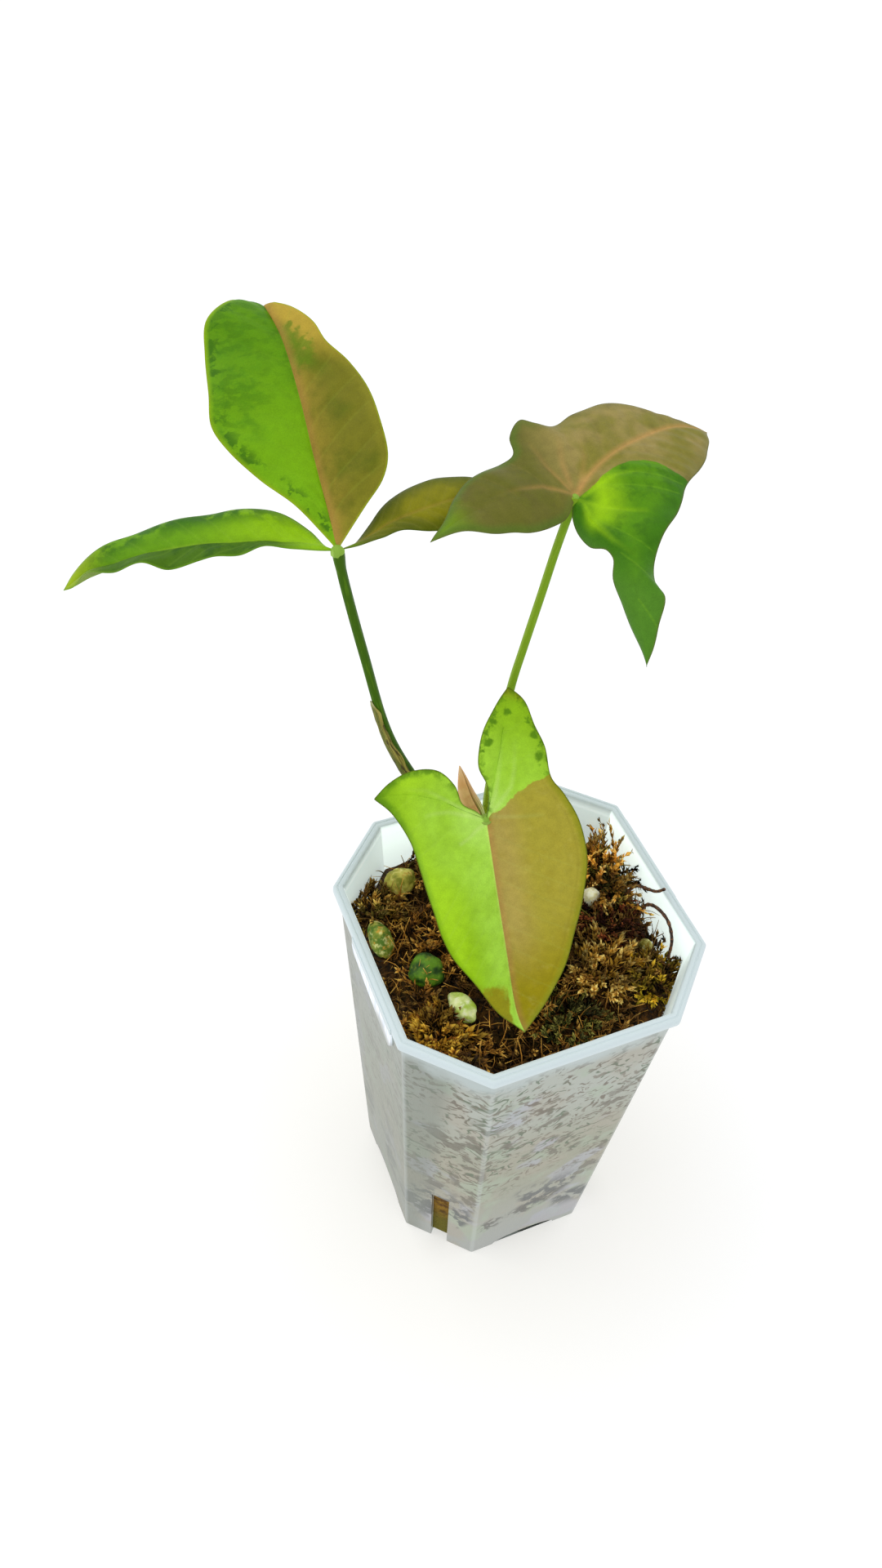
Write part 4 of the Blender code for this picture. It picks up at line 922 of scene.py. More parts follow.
class Painter:
    """Short ways to make the nodes of one tree. A value is a socket, a number, the name of a value kept
    at the mesh's points, or X, Y or Z for the place in millimetres. A mask is a value, or a value with
    the levels where the mask is 0 and 1. A colour is a socket, a setting or a tone seen on a screen."""

    def __init__(self, tree, place=None):
        self.tree, self.place, self.known = tree, place, {}

    def node(self, kind, inputs=None, **settings):
        made = self.tree.nodes.new("ShaderNode" + kind)
        for key, value in settings.items():
            setattr(made, key, value)
        for key, value in (inputs or {}).items():
            value = self.read(value) if isinstance(value, str) else value
            if isinstance(value, bpy.types.NodeSocket):
                self.tree.links.new(value, made.inputs[key])
            else:
                made.inputs[key].default_value = value
        return made

    def read(self, name):
        """A value kept at the mesh's points, or a coordinate in millimetres; made once in a tree."""
        if name not in self.known:
            if name in ("X", "Y", "Z"):
                metres = self.node("SeparateXYZ", {0: self.place}).outputs[name]
                self.known[name] = self.math("MULTIPLY", metres, 1 / MM)
            elif name == "from_rib":
                self.known[name] = self.math("ABSOLUTE", "side")
            else:
                self.known[name] = self.node("Attribute", attribute_name=name).outputs["Fac"]
        return self.known[name]

    def math(self, operation, *values):
        return self.node("Math", dict(enumerate(values)), operation=operation).outputs[0]

    def vector(self, operation, *values, out=0):
        return self.node("VectorMath", dict(enumerate(values)), operation=operation).outputs[out]

    def add(self, first, second):
        return self.math("ADD", first, second)

    def between(self, value, low, high):
        """0 where the value is low, 1 where it is high, a smooth step between; low may be the larger."""
        ends = (low, high, 0.0, 1.0) if low < high else (high, low, 1.0, 0.0)
        inputs = {"Value": value, **dict(enumerate(ends, 1))}
        return self.node("MapRange", inputs, interpolation_type="SMOOTHSTEP").outputs[0]

    def levels(self, value, low, high, start, end):
        """A value between two levels, moved in a straight line to between two others."""
        return self.node("MapRange", {"Value": value, 1: low, 2: high, 3: start, 4: end}).outputs[0]

    def times(self, *masks):
        """The product of the masks."""
        masks = [self.between(*mask) if isinstance(mask, tuple) else mask for mask in masks]
        total = masks[0]
        for mask in masks[1:]:
            total = self.math("MULTIPLY", total, mask)
        return total

    def rgba(self, colour):
        if isinstance(colour, bpy.types.NodeSocket):
            return colour
        return (*(tone(*colour) if isinstance(colour, tuple) else colour), 1.0)

    def coats(self, colour, *layers):
        """A colour with others laid over it in turn. A layer is a colour and the masks that bound it."""
        for above, *masks in layers:
            inputs = {0: self.times(*masks), 6: self.rgba(colour), 7: self.rgba(above)}
            colour = self.node("Mix", inputs, data_type="RGBA").outputs[2]
        return colour

    def scaled(self, colour, share):
        return self.node("VectorMath", {0: colour, "Scale": share}, operation="SCALE").outputs[0]

    def noise(self, size, detail=3.0, rough=0.5, warp=0.0, at=None):
        """Noise of about 0 to 1 whose features are about that many millimetres."""
        inputs = {"Vector": at or self.place, "Scale": 1 / MM / size, "Detail": detail}
        inputs.update(Roughness=rough, Distortion=warp)
        return self.node("TexNoise", inputs).outputs["Fac"]

    def sway(self, reach, size, detail=3.0, at=None):
        """Noise about 0, that many millimetres or shares from end to end."""
        return self.times(self.math("SUBTRACT", self.noise(size, detail, at=at), 0.5), reach)

    def stretched(self, *shares, at=None):
        """Coordinates scaled along each axis, so that a pattern on them runs long or short."""
        return self.node("Mapping", {"Vector": at or self.place, "Scale": shares}).outputs[0]

    def lengthwise(self, length, girth):
        """Coordinates round a stalk and, at a tenth, along it, so that lines run its length."""
        around, along = self.times("around", girth * MM), self.times("along", length * MM * 0.1)
        return self.node("CombineXYZ", {0: around, 1: along}).outputs[0]

    def near(self, centre, inner, outer, at=None):
        """1 within one distance of a point given in millimetres, 0 beyond another."""
        away = self.vector("DISTANCE", at or self.place, tuple(c * MM for c in centre), out="Value")
        return self.between(away, outer * MM, inner * MM)

    def spots(self, centres, radius, at=None):
        """1 in ragged spots about points given in millimetres, 0 outside them."""
        ragged = self.vector("ADD", at or self.place, self.sway(radius * 1.6 * MM, 1.5, at=at))
        mask = self.near(centres[0], radius * 0.45, radius, ragged)
        for centre in centres[1:]:
            mask = self.math("MAXIMUM", mask, self.near(centre, radius * 0.45, radius, ragged))
        return mask

    def use(self, built, **inputs):
        """The outputs of a node group with its own values."""
        return self.node("Group", inputs, node_tree=built).outputs

    def blotches(self, size, cover, softness=0.1, at=None):
        inputs = {"Vector": at or self.place, "Scale": 1 / MM / size, "Cover": cover, "Softness": softness}
        return self.use(blotch_group(), **inputs)["Mask"]

    def line(self, distance, width, softness):
        return self.use(line_group(), Distance=distance, Width=width, Softness=softness)["Mask"]

    def laterals(self):
        """The side veins as fine soft lines."""
        return self.line("fine", 0.12, 0.5)

    def veins(self, lift, strength, width=0.35, softness=0.9, far=19.0):
        """The layer of the drawn veins, which fade out that far from the joint."""
        return lift, strength, self.line("drawn", width, softness), ("reach", far, far * 0.15)

    def margin(self, dark, width, strength):
        """The layer of the thin line round a blade."""
        return dark, strength, self.line("edge", width, 0.4)

    def bump(self, height, depth, strength=1.0):
        """A bump whose full height is that many millimetres."""
        inputs = {"Height": height, "Distance": depth * MM, "Strength": strength}
        return self.node("Bump", inputs).outputs[0]


def group(name, inputs, outputs, build):
    """A shader node group with named inputs and outputs, made once. An input without a default is a
    vector, and one with four numbers is a colour."""
    if name in bpy.data.node_groups:
        return bpy.data.node_groups[name]
    made = bpy.data.node_groups.new(name, "ShaderNodeTree")
    kinds = {type(None): "Vector", float: "Float", tuple: "Color"}
    for label, value in inputs.items():
        kind = "NodeSocket" + kinds[type(value)]
        socket = made.interface.new_socket(name=label, in_out="INPUT", socket_type=kind)
        if value is not None:
            socket.default_value = value
    for label, kind in outputs.items():
        made.interface.new_socket(name=label, in_out="OUTPUT", socket_type="NodeSocket" + kind)
    entry, leave = made.nodes.new("NodeGroupInput"), made.nodes.new("NodeGroupOutput")
    p = Painter(made, entry.outputs.get("Vector"))
    for label, socket in zip(outputs, build(p, entry.outputs)):
        made.links.new(socket, leave.inputs[label])
    return made


def line_group():
    """A soft line where a distance in millimetres is under a width."""

    def build(p, given):
        near = p.math("SUBTRACT", given["Width"], given["Distance"])
        return [p.between(p.add(p.math("DIVIDE", near, given["Softness"]), 0.5), 0.0, 1.0)]

    return group("Soft line", {"Distance": 1.0, "Width": 0.3, "Softness": 0.3}, {"Mask": "Float"}, build)


def blotch_group():
    """Ragged blotches: noise of one size, broken by finer noise, above a level."""

    def build(p, given):
        inputs = {"Vector": given["Vector"], "Scale": given["Scale"], "Detail": 4.0, "Roughness": 0.6}
        level = p.math("SUBTRACT", 1.0, given["Cover"])
        share = p.math("SUBTRACT", p.node("TexNoise", inputs).outputs["Fac"], level)
        return [p.between(p.math("DIVIDE", share, given["Softness"]), 0.0, 1.0)]

    inputs = {"Vector": None, "Scale": 500.0, "Cover": 0.5, "Softness": 0.1}
    return group("Ragged blotches", inputs, {"Mask": "Float"}, build)


def leaf_grain_group():
    """The fine cells of a leaf's skin: small pillows and a faint unevenness of colour."""

    def build(p, given):
        cells = p.node("TexVoronoi", {"Vector": p.place, "Scale": 1 / MM / 0.32}).outputs["Distance"]
        soft, speck = p.noise(1.6), p.noise(0.22, 2.0)
        half = p.times(soft, 0.5)
        return [p.add(p.times(cells, -0.6), half), p.add(half, p.times(speck, 0.5))]

    return group("Leaf skin", {"Vector": None}, {"Height": "Float", "Shade": "Float"}, build)


def strand_group():
    """Colour along a strand: a dark root that is partly painted shade deep in the moss, its own colour,
    a paler tip that is partly painted highlight, varied from strand to strand, and patches of
    painted light and shade.
    """

    def build(p, given):
        along, tint = given["Along"], given["Tint"]
        # The root tone is partly painted shade deep among the strands, the tip tone partly painted highlight.
        colour = p.coats(
            given["Root"],
            (given["Middle"], (along, 0.15, 0.75)),
            (given["Other"], (tint, 0.6, 0.8)),
            (given["Tip"], (along, 0.65, 1.15)),
        )
        # Painted light and shade: strands are dimmed to about 0.4 or brightened to about 1.45 by their tint,
        # in patches about 7 mm across.
        lit = p.levels(p.times((tint, 0.0, 0.5), (p.noise(7.0, 1.5), 0.4, 0.55)), 0.0, 1.0, 0.42, 1.45)
        return [p.scaled(colour, p.times(lit, p.levels(p.noise(1.1, 2.0), 0.3, 0.7, 0.75, 1.2)))]

    colours = {label: (0.1, 0.1, 0.1, 1.0) for label in ("Root", "Middle", "Tip", "Other")}
    inputs = {"Vector": None, "Along": 0.5, "Tint": 0.5, **colours}
    return group("Moss strand", inputs, {"Color": "Color"}, build)


def finish(name, paint, **constants):
    """A material. paint(p) gives the sockets that its shader is linked to, and the constants are set on
    the shader's own sockets."""
    made = bpy.data.materials.new(name)
    made.use_nodes = True
    p = Painter(made.node_tree)
    p.place = p.node("TexCoord").outputs["Object"]
    shader = made.node_tree.nodes["Principled BSDF"]
    for key, socket in paint(p).items():
        made.node_tree.links.new(socket, shader.inputs[SHADER_SOCKETS[key]])
    for key, value in {"metal": 0.0, **constants}.items():
        shader.inputs[SHADER_SOCKETS[key]].default_value = value
    return made


def blade_finish(name, paint, hues):
    """A leaf's skin. paint(p, hues) gives the upper side's colour; the underside is paler and duller,
    and veins and cells show on both."""

    def build(p):
        skin = p.use(leaf_grain_group(), Vector=p.place)
        colour = p.coats(paint(p, hues), (hues.pale_under, 0.72, "under"))
        height = p.add(skin["Height"], p.times(p.line("fine", 0.12, 0.3), -0.35))
        rough = p.add(p.add(p.times(skin["Shade"], 0.16), 0.42), p.times("under", 0.2))
        colour = p.scaled(colour, p.levels(skin["Shade"], 0.35, 0.65, 0.9, 1.12))
        return {"colour": colour, "rough": rough, "normal": p.bump(height, 0.05, 0.8)}

    return finish(name, build, specular=0.08)


def front_paint(p, hues):
    """Left of the rib and the right lobe lime, right of the rib olive brown, pinker by the rib. Dark
    spots and blotches lie along the margins of the lobes."""
    x, y, _ = FRONT_JOINT
    lime = p.coats(
        hues.lime,
        ((132, 176, 6), ("reach", 8, 27)),
        ((160, 208, 70), 0.8, ("from_rib", 8, 1)),
        ((172, 216, 94), 0.8, ("reach", 9, 1)),
        ((134, 178, 24), 0.3, (p.noise(6), 0.42, 0.6)),
        # Painted light: the left half is lightened towards its margin, where the blade turns down away from
        # the light.
        ((158, 204, 30), 0.7, ("side", -5, -9.5), ("reach", 11, 17), ("edge", 0.3, 1.5)),
    )
    brown = p.coats(
        hues.blush,
        ((160, 150, 50), ("from_rib", 2.5, 9)),
        ((142, 130, 8), ("reach", 20, 36)),
        ((134, 136, 22), 0.8, ("edge", 1.8, 0.5)),
        ((140, 122, 22), 0.3, p.blotches(4, 0.52, 0.3)),
        ((180, 170, 84), 0.22, p.blotches(2.6, 0.46, 0.2, p.stretched(1.0, 0.7, 1.2))),
    )
    past = p.between(p.add("zone", p.sway(1.8, 2)), 0.12, -0.12)
    right = p.between("side", -0.05, 0.1)
    left, lobe = p.math("SUBTRACT", 1.0, right), p.times(right, p.math("SUBTRACT", 1.0, past))
    colour = p.coats(
        lime,
        (brown, past, right),
        ((166, 120, 66), 0.55, ("side", 1.9, 0.1), right, past),
        ((190, 226, 100), 0.45, ("side", -0.7, -0.1), ("side", 0.12, 0)),
        ((186, 214, 110), 0.07, p.laterals()),
    )
    return p.coats(
        p.coats(colour, p.veins((196, 222, 130), 0.36)),
        (colour, 0.6, past, right),
        ((132, 176, 22), 0.6, ("reach", 13, 26), lobe),
        ((72, 118, 8), 0.85, ("edge", 2.6, 0.8), p.blotches(1.8, 0.5, 0.15), lobe, ("reach", 7, 12)),
        ((74, 120, 8), 0.85, p.spots(LOBE_SPOTS, 1.15), lobe),
        ((132, 134, 16), 0.7, ("reach", 23, 25.5), lobe),
        ((78, 122, 10), 0.7, ("edge", 1.5, 0.2), (p.noise(1.6), 0.44, 0.6), lobe),
        ((78, 124, 10), 0.85, ("edge", 2, 0.3), (p.noise(2.2), 0.38, 0.56), ("Y", y + 1, y + 7), left),
        ((104, 150, 10), 0.55, ("X", x - 13, x - 18)),
        ((84, 130, 10), 0.6, ("X", x - 12, x - 17), ("edge", 1.8, 0.2), left),
        ((136, 126, 12), 0.92, (p.add("reach", p.sway(9, 3)), 32.6, 35), left,
         (p.add("side", p.sway(1.4, 1.5)), -1, -1.6)),
        ((110, 104, 14), 0.22, p.line(p.math("ABSOLUTE", p.add("edge", -1.9)), 0.15, 0.9), right, past),
        p.margin((80, 96, 10), 0.2, 0.8),
    )


def right_paint(p, hues):
    """The far half and the left lobe dusky brown with pink veins, the near half and the right lobe green."""
    x, _, z = RIGHT_JOINT
    west = p.between("X", x + 4, x - 7)
    brown = p.coats(
        hues.dusk,
        ((124, 118, 46), (p.noise(8, 2), 0.4, 0.6)),
        ((122, 116, 56), 0.7, ("edge", 3.5, 0.8)),
        ((90, 92, 28), 0.85, west),
        ((104, 138, 14), 0.95, ("X", x - 20, x - 28)),
        ((96, 88, 42), 0.35, p.blotches(5, 0.5, 0.2)),
        ((82, 108, 34), 0.7, ("edge", 2.2, 0.4), west),
        ((160, 132, 84), 0.14, p.laterals()),
        p.veins((188, 142, 82), 0.62, 0.2, 1.9, 18),
        ((192, 146, 84), 0.75, p.line("from_rib", 0.4, 1.8)),
    )
    green = p.coats(
        (154, 200, 14),
        ((82, 134, 12), ("reach", 3, 12)),
        ((60, 112, 12), ("edge", 6, 1.5)),
        ((52, 100, 12), 0.55, p.blotches(3.4, 0.52, 0.2), ("reach", 5, 11)),
        # Painted sheen: the part of the green that hangs below the joint is made paler and greyer.
        ((84, 132, 40), 0.65, ("Z", z - 3, z - 8)),
        ((120, 170, 30), 0.35, p.laterals()),
        p.veins((156, 202, 20), 0.75, 0.2, 1.6),
    )
    near = (p.add("zone", p.sway(1, 3)), 0.15, -0.15)
    return p.coats(brown, (green, near, ("side", -0.05, 0.1)), p.margin((92, 96, 44), 0.25, 0.6))


def centre_paint(p, hues):
    """Left of the rib lime with dark mottling towards the margin, right of it olive brown."""
    streaks = p.noise(1.6, at=p.stretched(0.6, 1.0, 1.6))
    lime = p.coats(
        (86, 136, 10),
        ((116, 168, 12), ("reach", 48, 14)),
        ((96, 148, 12), 0.3, ("edge", 9, 1)),
        ((76, 128, 12), 0.7, ("edge", 14, 5), p.blotches(3.2, 0.56, 0.2), ("reach", 14, 32)),
        ((66, 114, 10), 0.5, (streaks, 0.46, 0.6), ("edge", 16, 4), ("reach", 20, 32)),
        ((56, 104, 10), 0.85, ("edge", 4, 1.2), p.blotches(2.4, 0.5, 0.08)),
        ((116, 160, 14), 0.8, ("edge", 1.1, 0.4)),
    )
    brown = p.coats(
        (140, 124, 40),
        (hues.olive, ("from_rib", 1, 6.5)),
        ((86, 96, 14), 0.75, p.blotches(7, 0.56, 0.3)),
        ((132, 128, 34), 0.5, ("edge", 2.5, 0.6)),
        ((184, 156, 56), 0.8, ("edge", 7, 2.5), ("reach", 33, 42)),
        ((84, 114, 14), 0.85, ("reach", 30, 38), ("edge", 2.5, 5.5), p.blotches(4, 0.66, 0.3)),
        ((92, 120, 16), 0.75, p.spots(LEAFLET_SPOTS, 3.4)),
    )
    right = p.between("side", -0.05, 0.1)
    return p.coats(
        lime,
        (brown, right),
        ((166, 146, 66), 0.07, p.laterals(), right),
        ((150, 190, 50), 0.08, p.laterals()),
        ((168, 128, 62), 0.6, ("side", 2.2, 0.1), right),
        p.margin((152, 168, 26), 0.25, 0.6),
    )


def left_paint(p, hues):
    """The half behind the rib lime with dark mottles at its edge, the near half dark green, tip yellow."""
    mottles = p.times(("edge", 6, 1), ("reach", 8, 22), p.blotches(3.6, 0.62, 0.15))
    lime = p.coats((136, 182, 14), ((96, 146, 10), ("reach", 10, 30)), ((54, 104, 12), mottles))
    return p.coats(
        (68, 106, 14),
        ((42, 82, 12), 0.7, p.blotches(4, 0.52, 0.2)),
        ((130, 176, 20), ("reach", 12, 4)),
        (lime, ("side", -0.4, 0.4)),
        ((150, 190, 60), 0.12, p.laterals()),
        ((140, 180, 40), 0.4, p.line("from_rib", 0.3, 0.6)),
        ((146, 172, 20), ("reach", 40, 49)),
        p.margin((98, 140, 18), 0.3, 0.6),
    )


def small_paint(p, hues):
    """The small right leaflet: olive brown with a dark margin."""
    return p.coats(
        (134, 130, 18),
        ((116, 116, 14), (p.noise(6, 2), 0.4, 0.6)),
        ((84, 94, 16), 0.85, ("edge", 3.6, 0.5)),
        ((100, 142, 18), ("reach", 6, 1)),
        ((160, 150, 70), 0.15, p.laterals()),
        ((160, 136, 54), 0.4, p.line("from_rib", 0.3, 0.7)),
        p.margin((72, 86, 14), 0.3, 0.7),
    )


def pot_finish(hues):
    """Milky polypropylene with the pressed moss showing through: tinted soft patches, short curled
    strokes that turn to larger patches below and stop in a wavy line under the rim, and a clear rim,
    tabs and inside. Painted shade darkens the -X face, a painted highlight runs along the rounded
    corners, and a painted glow on the inside and the tabs stands in for light through the wall."""

    def build(p):
        bent = p.vector("ADD", p.place, p.sway(6 * MM, 6, 2))
        flat = p.stretched(0.8, 0.8, 1.25, at=bent)
        curls = p.math("ABSOLUTE", p.math("SUBTRACT", p.noise(3.2, 0.5, 0.4, 0.5, flat), 0.5))
        upper = p.between("Z", 30, 55)
        ladder = p.times(("corner", 7, 1), ("Y", -21, -25), ("X", 0, -6), ("Z", 56, 66))
        crowd = p.math("MAXIMUM", p.between(p.noise(17, 2), 0.3, 0.44), ladder)
        broken = p.math("MAXIMUM", p.between(p.noise(2.4, 1, at=flat), 0.48, 0.56), p.times(ladder, 0.8))
        soft = p.coats(
            (156, 160, 156),
            ((148, 149, 128), ("Z", 0, 50)),
            ((166, 171, 160), ("Z", 55, 90)),
            ((160, 152, 134), 0.6, (p.noise(15), 0.46, 0.62)),
            ((156, 172, 148), 0.6, (p.noise(13, 2, at=p.stretched(1.3, 0.9, 1.0)), 0.54, 0.66)),
            ((166, 168, 180), 0.6, (p.noise(12, 2, at=p.stretched(0.8, 1.2, 0.9)), 0.56, 0.64)),
            (p.coats((66, 88, 54), ((92, 80, 60), (p.noise(12, 1), 0.45, 0.56))),
             0.9, (curls, 0.08, 0.03), broken, crowd, upper),
            ((100, 90, 70), 0.7, (p.noise(1.7, 1.5, at=flat), 0.57, 0.64), upper, crowd),
            ((92, 86, 68), 0.8, p.blotches(5.5, 0.48, 0.06, p.stretched(0.8, 0.8, 1.3, at=bent)),
             ("Z", 92, 75), (p.noise(15, 1, at=p.stretched(1.1, 1.1, 0.8)), 0.47, 0.55), ("Z", 20, 34)),
            ((66, 72, 74), 0.9, p.blotches(5, 0.56, 0.1, p.stretched(1.2, 0.7, 1.1, at=bent)),
             ("Z", 42, 30), (p.noise(16, 1, at=p.stretched(0.9, 1.1, 0.8)), 0.48, 0.58), ("Z", 10, 18)),
            ((72, 72, 64), 0.85, p.spots(WALL_SPOTS, 4.6, bent), (p.noise(2.4, 2), 0.38, 0.5)),
            # Painted shade: the -X face of the wall is darkened.
            ((108, 116, 104), 0.62, ("X", -23.5, -27.5)),
            # Painted highlight: a paler line along the rounded corners of the outer wall.
            ((206, 214, 214), 0.22, ("corner", 0.9, 0.2), ("depth", 0.8, 0.3)),
        )
        ribbed = p.noise(0.9, 2, at=p.stretched(1.0, 1.0, 0.06))
        tab = p.times(("depth", -1.1, -1.3), ("Z", 107.6, 107))
        colour = p.coats(
            (176, 188, 186),
            (hues.plastic, ("Z", 107.2, 107.8)),
            (p.coats((206, 216, 210), ((222, 234, 234), ("Z", 98.5, 107))), ("depth", 0.8, 1.2)),
            (p.coats((204, 216, 230), ((244, 248, 252), (ribbed, 0.4, 0.6))), tab),
            (soft, ("depth", 0.8, 0.4), (p.add("Z", p.sway(14, 14, 2)), 105.2, 98.5)),
        )
        # Painted light: the inside wall above the moss and the tabs glow, standing in for light coming
        # through the milky wall.
        inside = ((210, 222, 218), ("depth", 0.7, 1.1), ("Z", 86, 96))
        glow = p.coats((0, 0, 0), inside, ((110, 112, 116), tab))
        scratch = p.noise(1.2, 2, at=p.stretched(6.0, 6.0, 0.4))
        grain = p.noise(0.9, 2, at=p.stretched(3.0, 3.0, 0.5))
        rough = p.add(p.times(scratch, 0.18), 0.26)
        return {"colour": colour, "rough": rough, "normal": p.bump(grain, 0.03, 0.5), "glow": glow}

    constants = {"glow_strength": 1.0, "specular": 0.35, "coat": 0.1, "coat_rough": 0.2, "ior": 1.49}
    return finish("milky_polypropylene_wall", build, **constants)


def strand_finish(name, root, middle, tip, other):
    """Dried sphagnum: each strand dark at its root, partly painted shade, and paler at its tip, partly
    painted highlight.
    """

    def build(p):
        tones = {"Root": root, "Middle": middle, "Tip": tip, "Other": other}
        tones = {label: p.rgba(colour) for label, colour in tones.items()}
        colour = p.use(strand_group(), Vector=p.place, Along="along", Tint="tint", **tones)["Color"]
        return {"colour": colour, "normal": p.bump(p.noise(0.25, 2), 0.04, 0.6)}

    return finish(name, build, rough=0.78, specular=0.25)


def ground_finish():
    """Packed moss between the strands: near-black crumbs that are partly painted shade in the gaps
    between strands, with rusty and greenish patches, paler low down, where the slits show it."""

    def build(p):
        low = p.coats(
            (96, 62, 16), ((160, 122, 34), (p.noise(3, 4, 0.6), 0.38, 0.62)), ((120, 112, 26), ("Z", 20, 8))
        )
        colour = p.coats(
            # The near-black base is partly painted shade in the gaps between the strands.
            (22, 13, 5),
            ((96, 60, 18), (p.noise(1.6, 4, 0.65), 0.35, 0.7)),
            ((48, 46, 14), 0.5, p.blotches(9, 0.5, 0.2)),
            ((84, 44, 14), 0.5, p.blotches(7, 0.48, 0.2, p.stretched(1.2, 0.8, 1.0))),
            (low, ("Z", 90, 70)),
        )
        return {"colour": colour, "normal": p.bump(p.noise(1.1, 4, 0.7), 0.6)}

    return finish("packed_moss", build, rough=0.92, specular=0.2)


def pebble_finish(name, body, dark, pale, warm, cover):
    """Pumice: a mottled body with dark growth low down, pale grit and warm stains."""

    def build(p):
        colour = p.coats(
            dark,
            (body, (p.noise(2.6, 4), 0.35, 0.65)),
            (pale, 0.8, p.blotches(1.3, cover, 0.2)),
            (warm, 0.7, p.blotches(1.9, 0.42, 0.1, p.stretched(0.8, 1.1, 1.2))),
            (dark, 0.6, ("Z", 100, 98.5)),
        )
        return {"colour": colour, "normal": p.bump(p.noise(0.7, 4, 0.65), 0.1, 0.8)}

    return finish(name, build, rough=0.6, specular=0.3)


def stalk_finish(name, body, low, highlight, speckle):
    """A petiole's skin: fine lengthwise lines, a painted highlight down one side, speckled lower down."""

    def build(p):
        fine = p.noise(0.45, 2, at=p.lengthwise(90, 8))
        side = p.math("ABSOLUTE", p.math("SUBTRACT", "around", 0.5))
        colour = p.coats(
            body,
            (low, ("along", 0.55, 0.15)),
            # Painted highlight: the highlight tone down one side of the stalk, and on the lengthwise lines.
            (highlight, 0.7, (side, 0.32, 0.48)),
            (highlight, 0.35, (fine, 0.5, 0.7)),
            (speckle, 0.35, (p.noise(0.55, 2, 0.6), 0.52, 0.62), ("along", 0.75, 0.3)),
        )
        rough = p.add(p.times(fine, 0.2), 0.34)
        return {"colour": colour, "rough": rough, "normal": p.bump(fine, 0.05, 0.7)}

    return finish(name, build, specular=0.08)


def sheath_finish():
    """Dry membrane: fibres that run its length, tan to dark brown, green where it is still alive."""

    def build(p):
        fibres = p.noise(0.5, at=p.lengthwise(50, 6))
        colour = p.coats(
            (106, 96, 34),
            ((158, 148, 68), (fibres, 0.38, 0.62)),
            ((84, 100, 20), 0.7, p.blotches(2.4, 0.54, 0.1, p.lengthwise(160, 6))),
            ((48, 34, 12), 0.8, p.blotches(1.1, 0.46, 0.08, p.lengthwise(300, 7))),
            ((170, 170, 120), ("along", 0.625, 0.642)),
        )
        return {"colour": colour, "normal": p.bump(fibres, 0.12, 0.8)}

    return finish("dry_sheath", build, rough=0.62, specular=0.25)


def rolled_finish():
    """The rolled leaf: salmon pink with a redder edge and a striped cream and green flap."""

    def build(p):
        left = p.math("ABSOLUTE", p.math("SUBTRACT", "around", 0.5))
        groove = p.math("ABSOLUTE", p.math("SUBTRACT", "around", 0.397))
        stripes = p.math("SINE", p.math("MULTIPLY", "around", 150.0))
        flap = p.coats(
            (150, 168, 66),
            ((214, 214, 140), (stripes, -0.3, 0.3)),
            ((226, 164, 112), 0.85, ("along", 0.55, 0.8), ("around", 0.60, 0.52)),
        )
        colour = p.coats(
            (255, 204, 140),
            ((244, 182, 120), (p.noise(2.4), 0.35, 0.65)),
            ((246, 206, 156), ("along", 0.86, 1)),
            ((210, 116, 86), 0.75, (left, 0.43, 0.48)),
            (flap, ("around", 0.39, 0.405), ("around", 0.68, 0.64)),
            # Painted shade: a dark line in the groove where the flap overlaps the roll.
            ((120, 84, 44), 0.8, (groove, 0.012, 0.004)),
            ((150, 166, 66), 0.9, ("along", 0.5, 0.3)),
        )
        return {"colour": colour, "normal": p.bump(p.noise(0.4, 2, at=p.lengthwise(40, 9)), 0.05, 0.7)}

    return finish("rolled_new_leaf", build, rough=0.5, specular=0.2)


def wiry_finish():
    """Dark, wrinkled root bark with rusty scales."""

    def build(p):
        bark = p.noise(0.5)
        colour = p.coats((40, 22, 12), ((122, 78, 40), (bark, 0.4, 0.66)))
        return {"colour": colour, "normal": p.bump(bark, 0.1)}

    return finish("wiry_bark", build, rough=0.66)


def floor_finish(hues):
    """A matt white sweep, very slightly uneven, with a warm painted shadow round the pot."""

    def build(p):
        uneven = (hues.floor * 0.985, (p.noise(900, 2), 0.3, 0.7))
        # Painted shadow: the floor is darker and warmer within about 30 to 110 mm of the pot's axis.
        return {"colour": p.coats(hues.floor, uneven, ((190, 186, 172), 0.6, p.near((0, 0, 0), 30, 110)))}

    constants = {"glow": (1.0, 1.0, 1.0, 1.0), "glow_strength": 0.5, "specular": 0.1}
    return finish("studio_sweep", build, rough=0.85, **constants)


# ---------------------------------------------------------------- settings


def colour_setting(name, description, default):
    return FloatVectorProperty(
        name=name, description=description, default=default, subtype="COLOR", size=3, min=0, max=1,
    )


def length_setting(name, description, millimetres, low, high):
    return FloatProperty(
        name=name, description=description, default=millimetres * MM, min=low * MM, max=high * MM,
        subtype="DISTANCE", unit="LENGTH", precision=5,
    )


class PlantBladeSettings(bpy.types.PropertyGroup):
    ruffle: length_setting("Ruffle", "Height of the ripples along the blades' margins", 0.35, 0.0, 1.5)
    lime: colour_setting("Lime", "Bright half of the front leaf", tone(156, 203, 56))
    blush: colour_setting("Blush brown", "Brown half of the front leaf, beside the rib", tone(166, 148, 72))
    olive: colour_setting("Olive brown", "Brown half of the left leaf", tone(112, 110, 26))
    dusk: colour_setting("Dusky brown", "Brown half of the right leaf", tone(146, 131, 72))
    pale_under: colour_setting("Underside", "Dull green of the blades' undersides", tone(140, 162, 92))


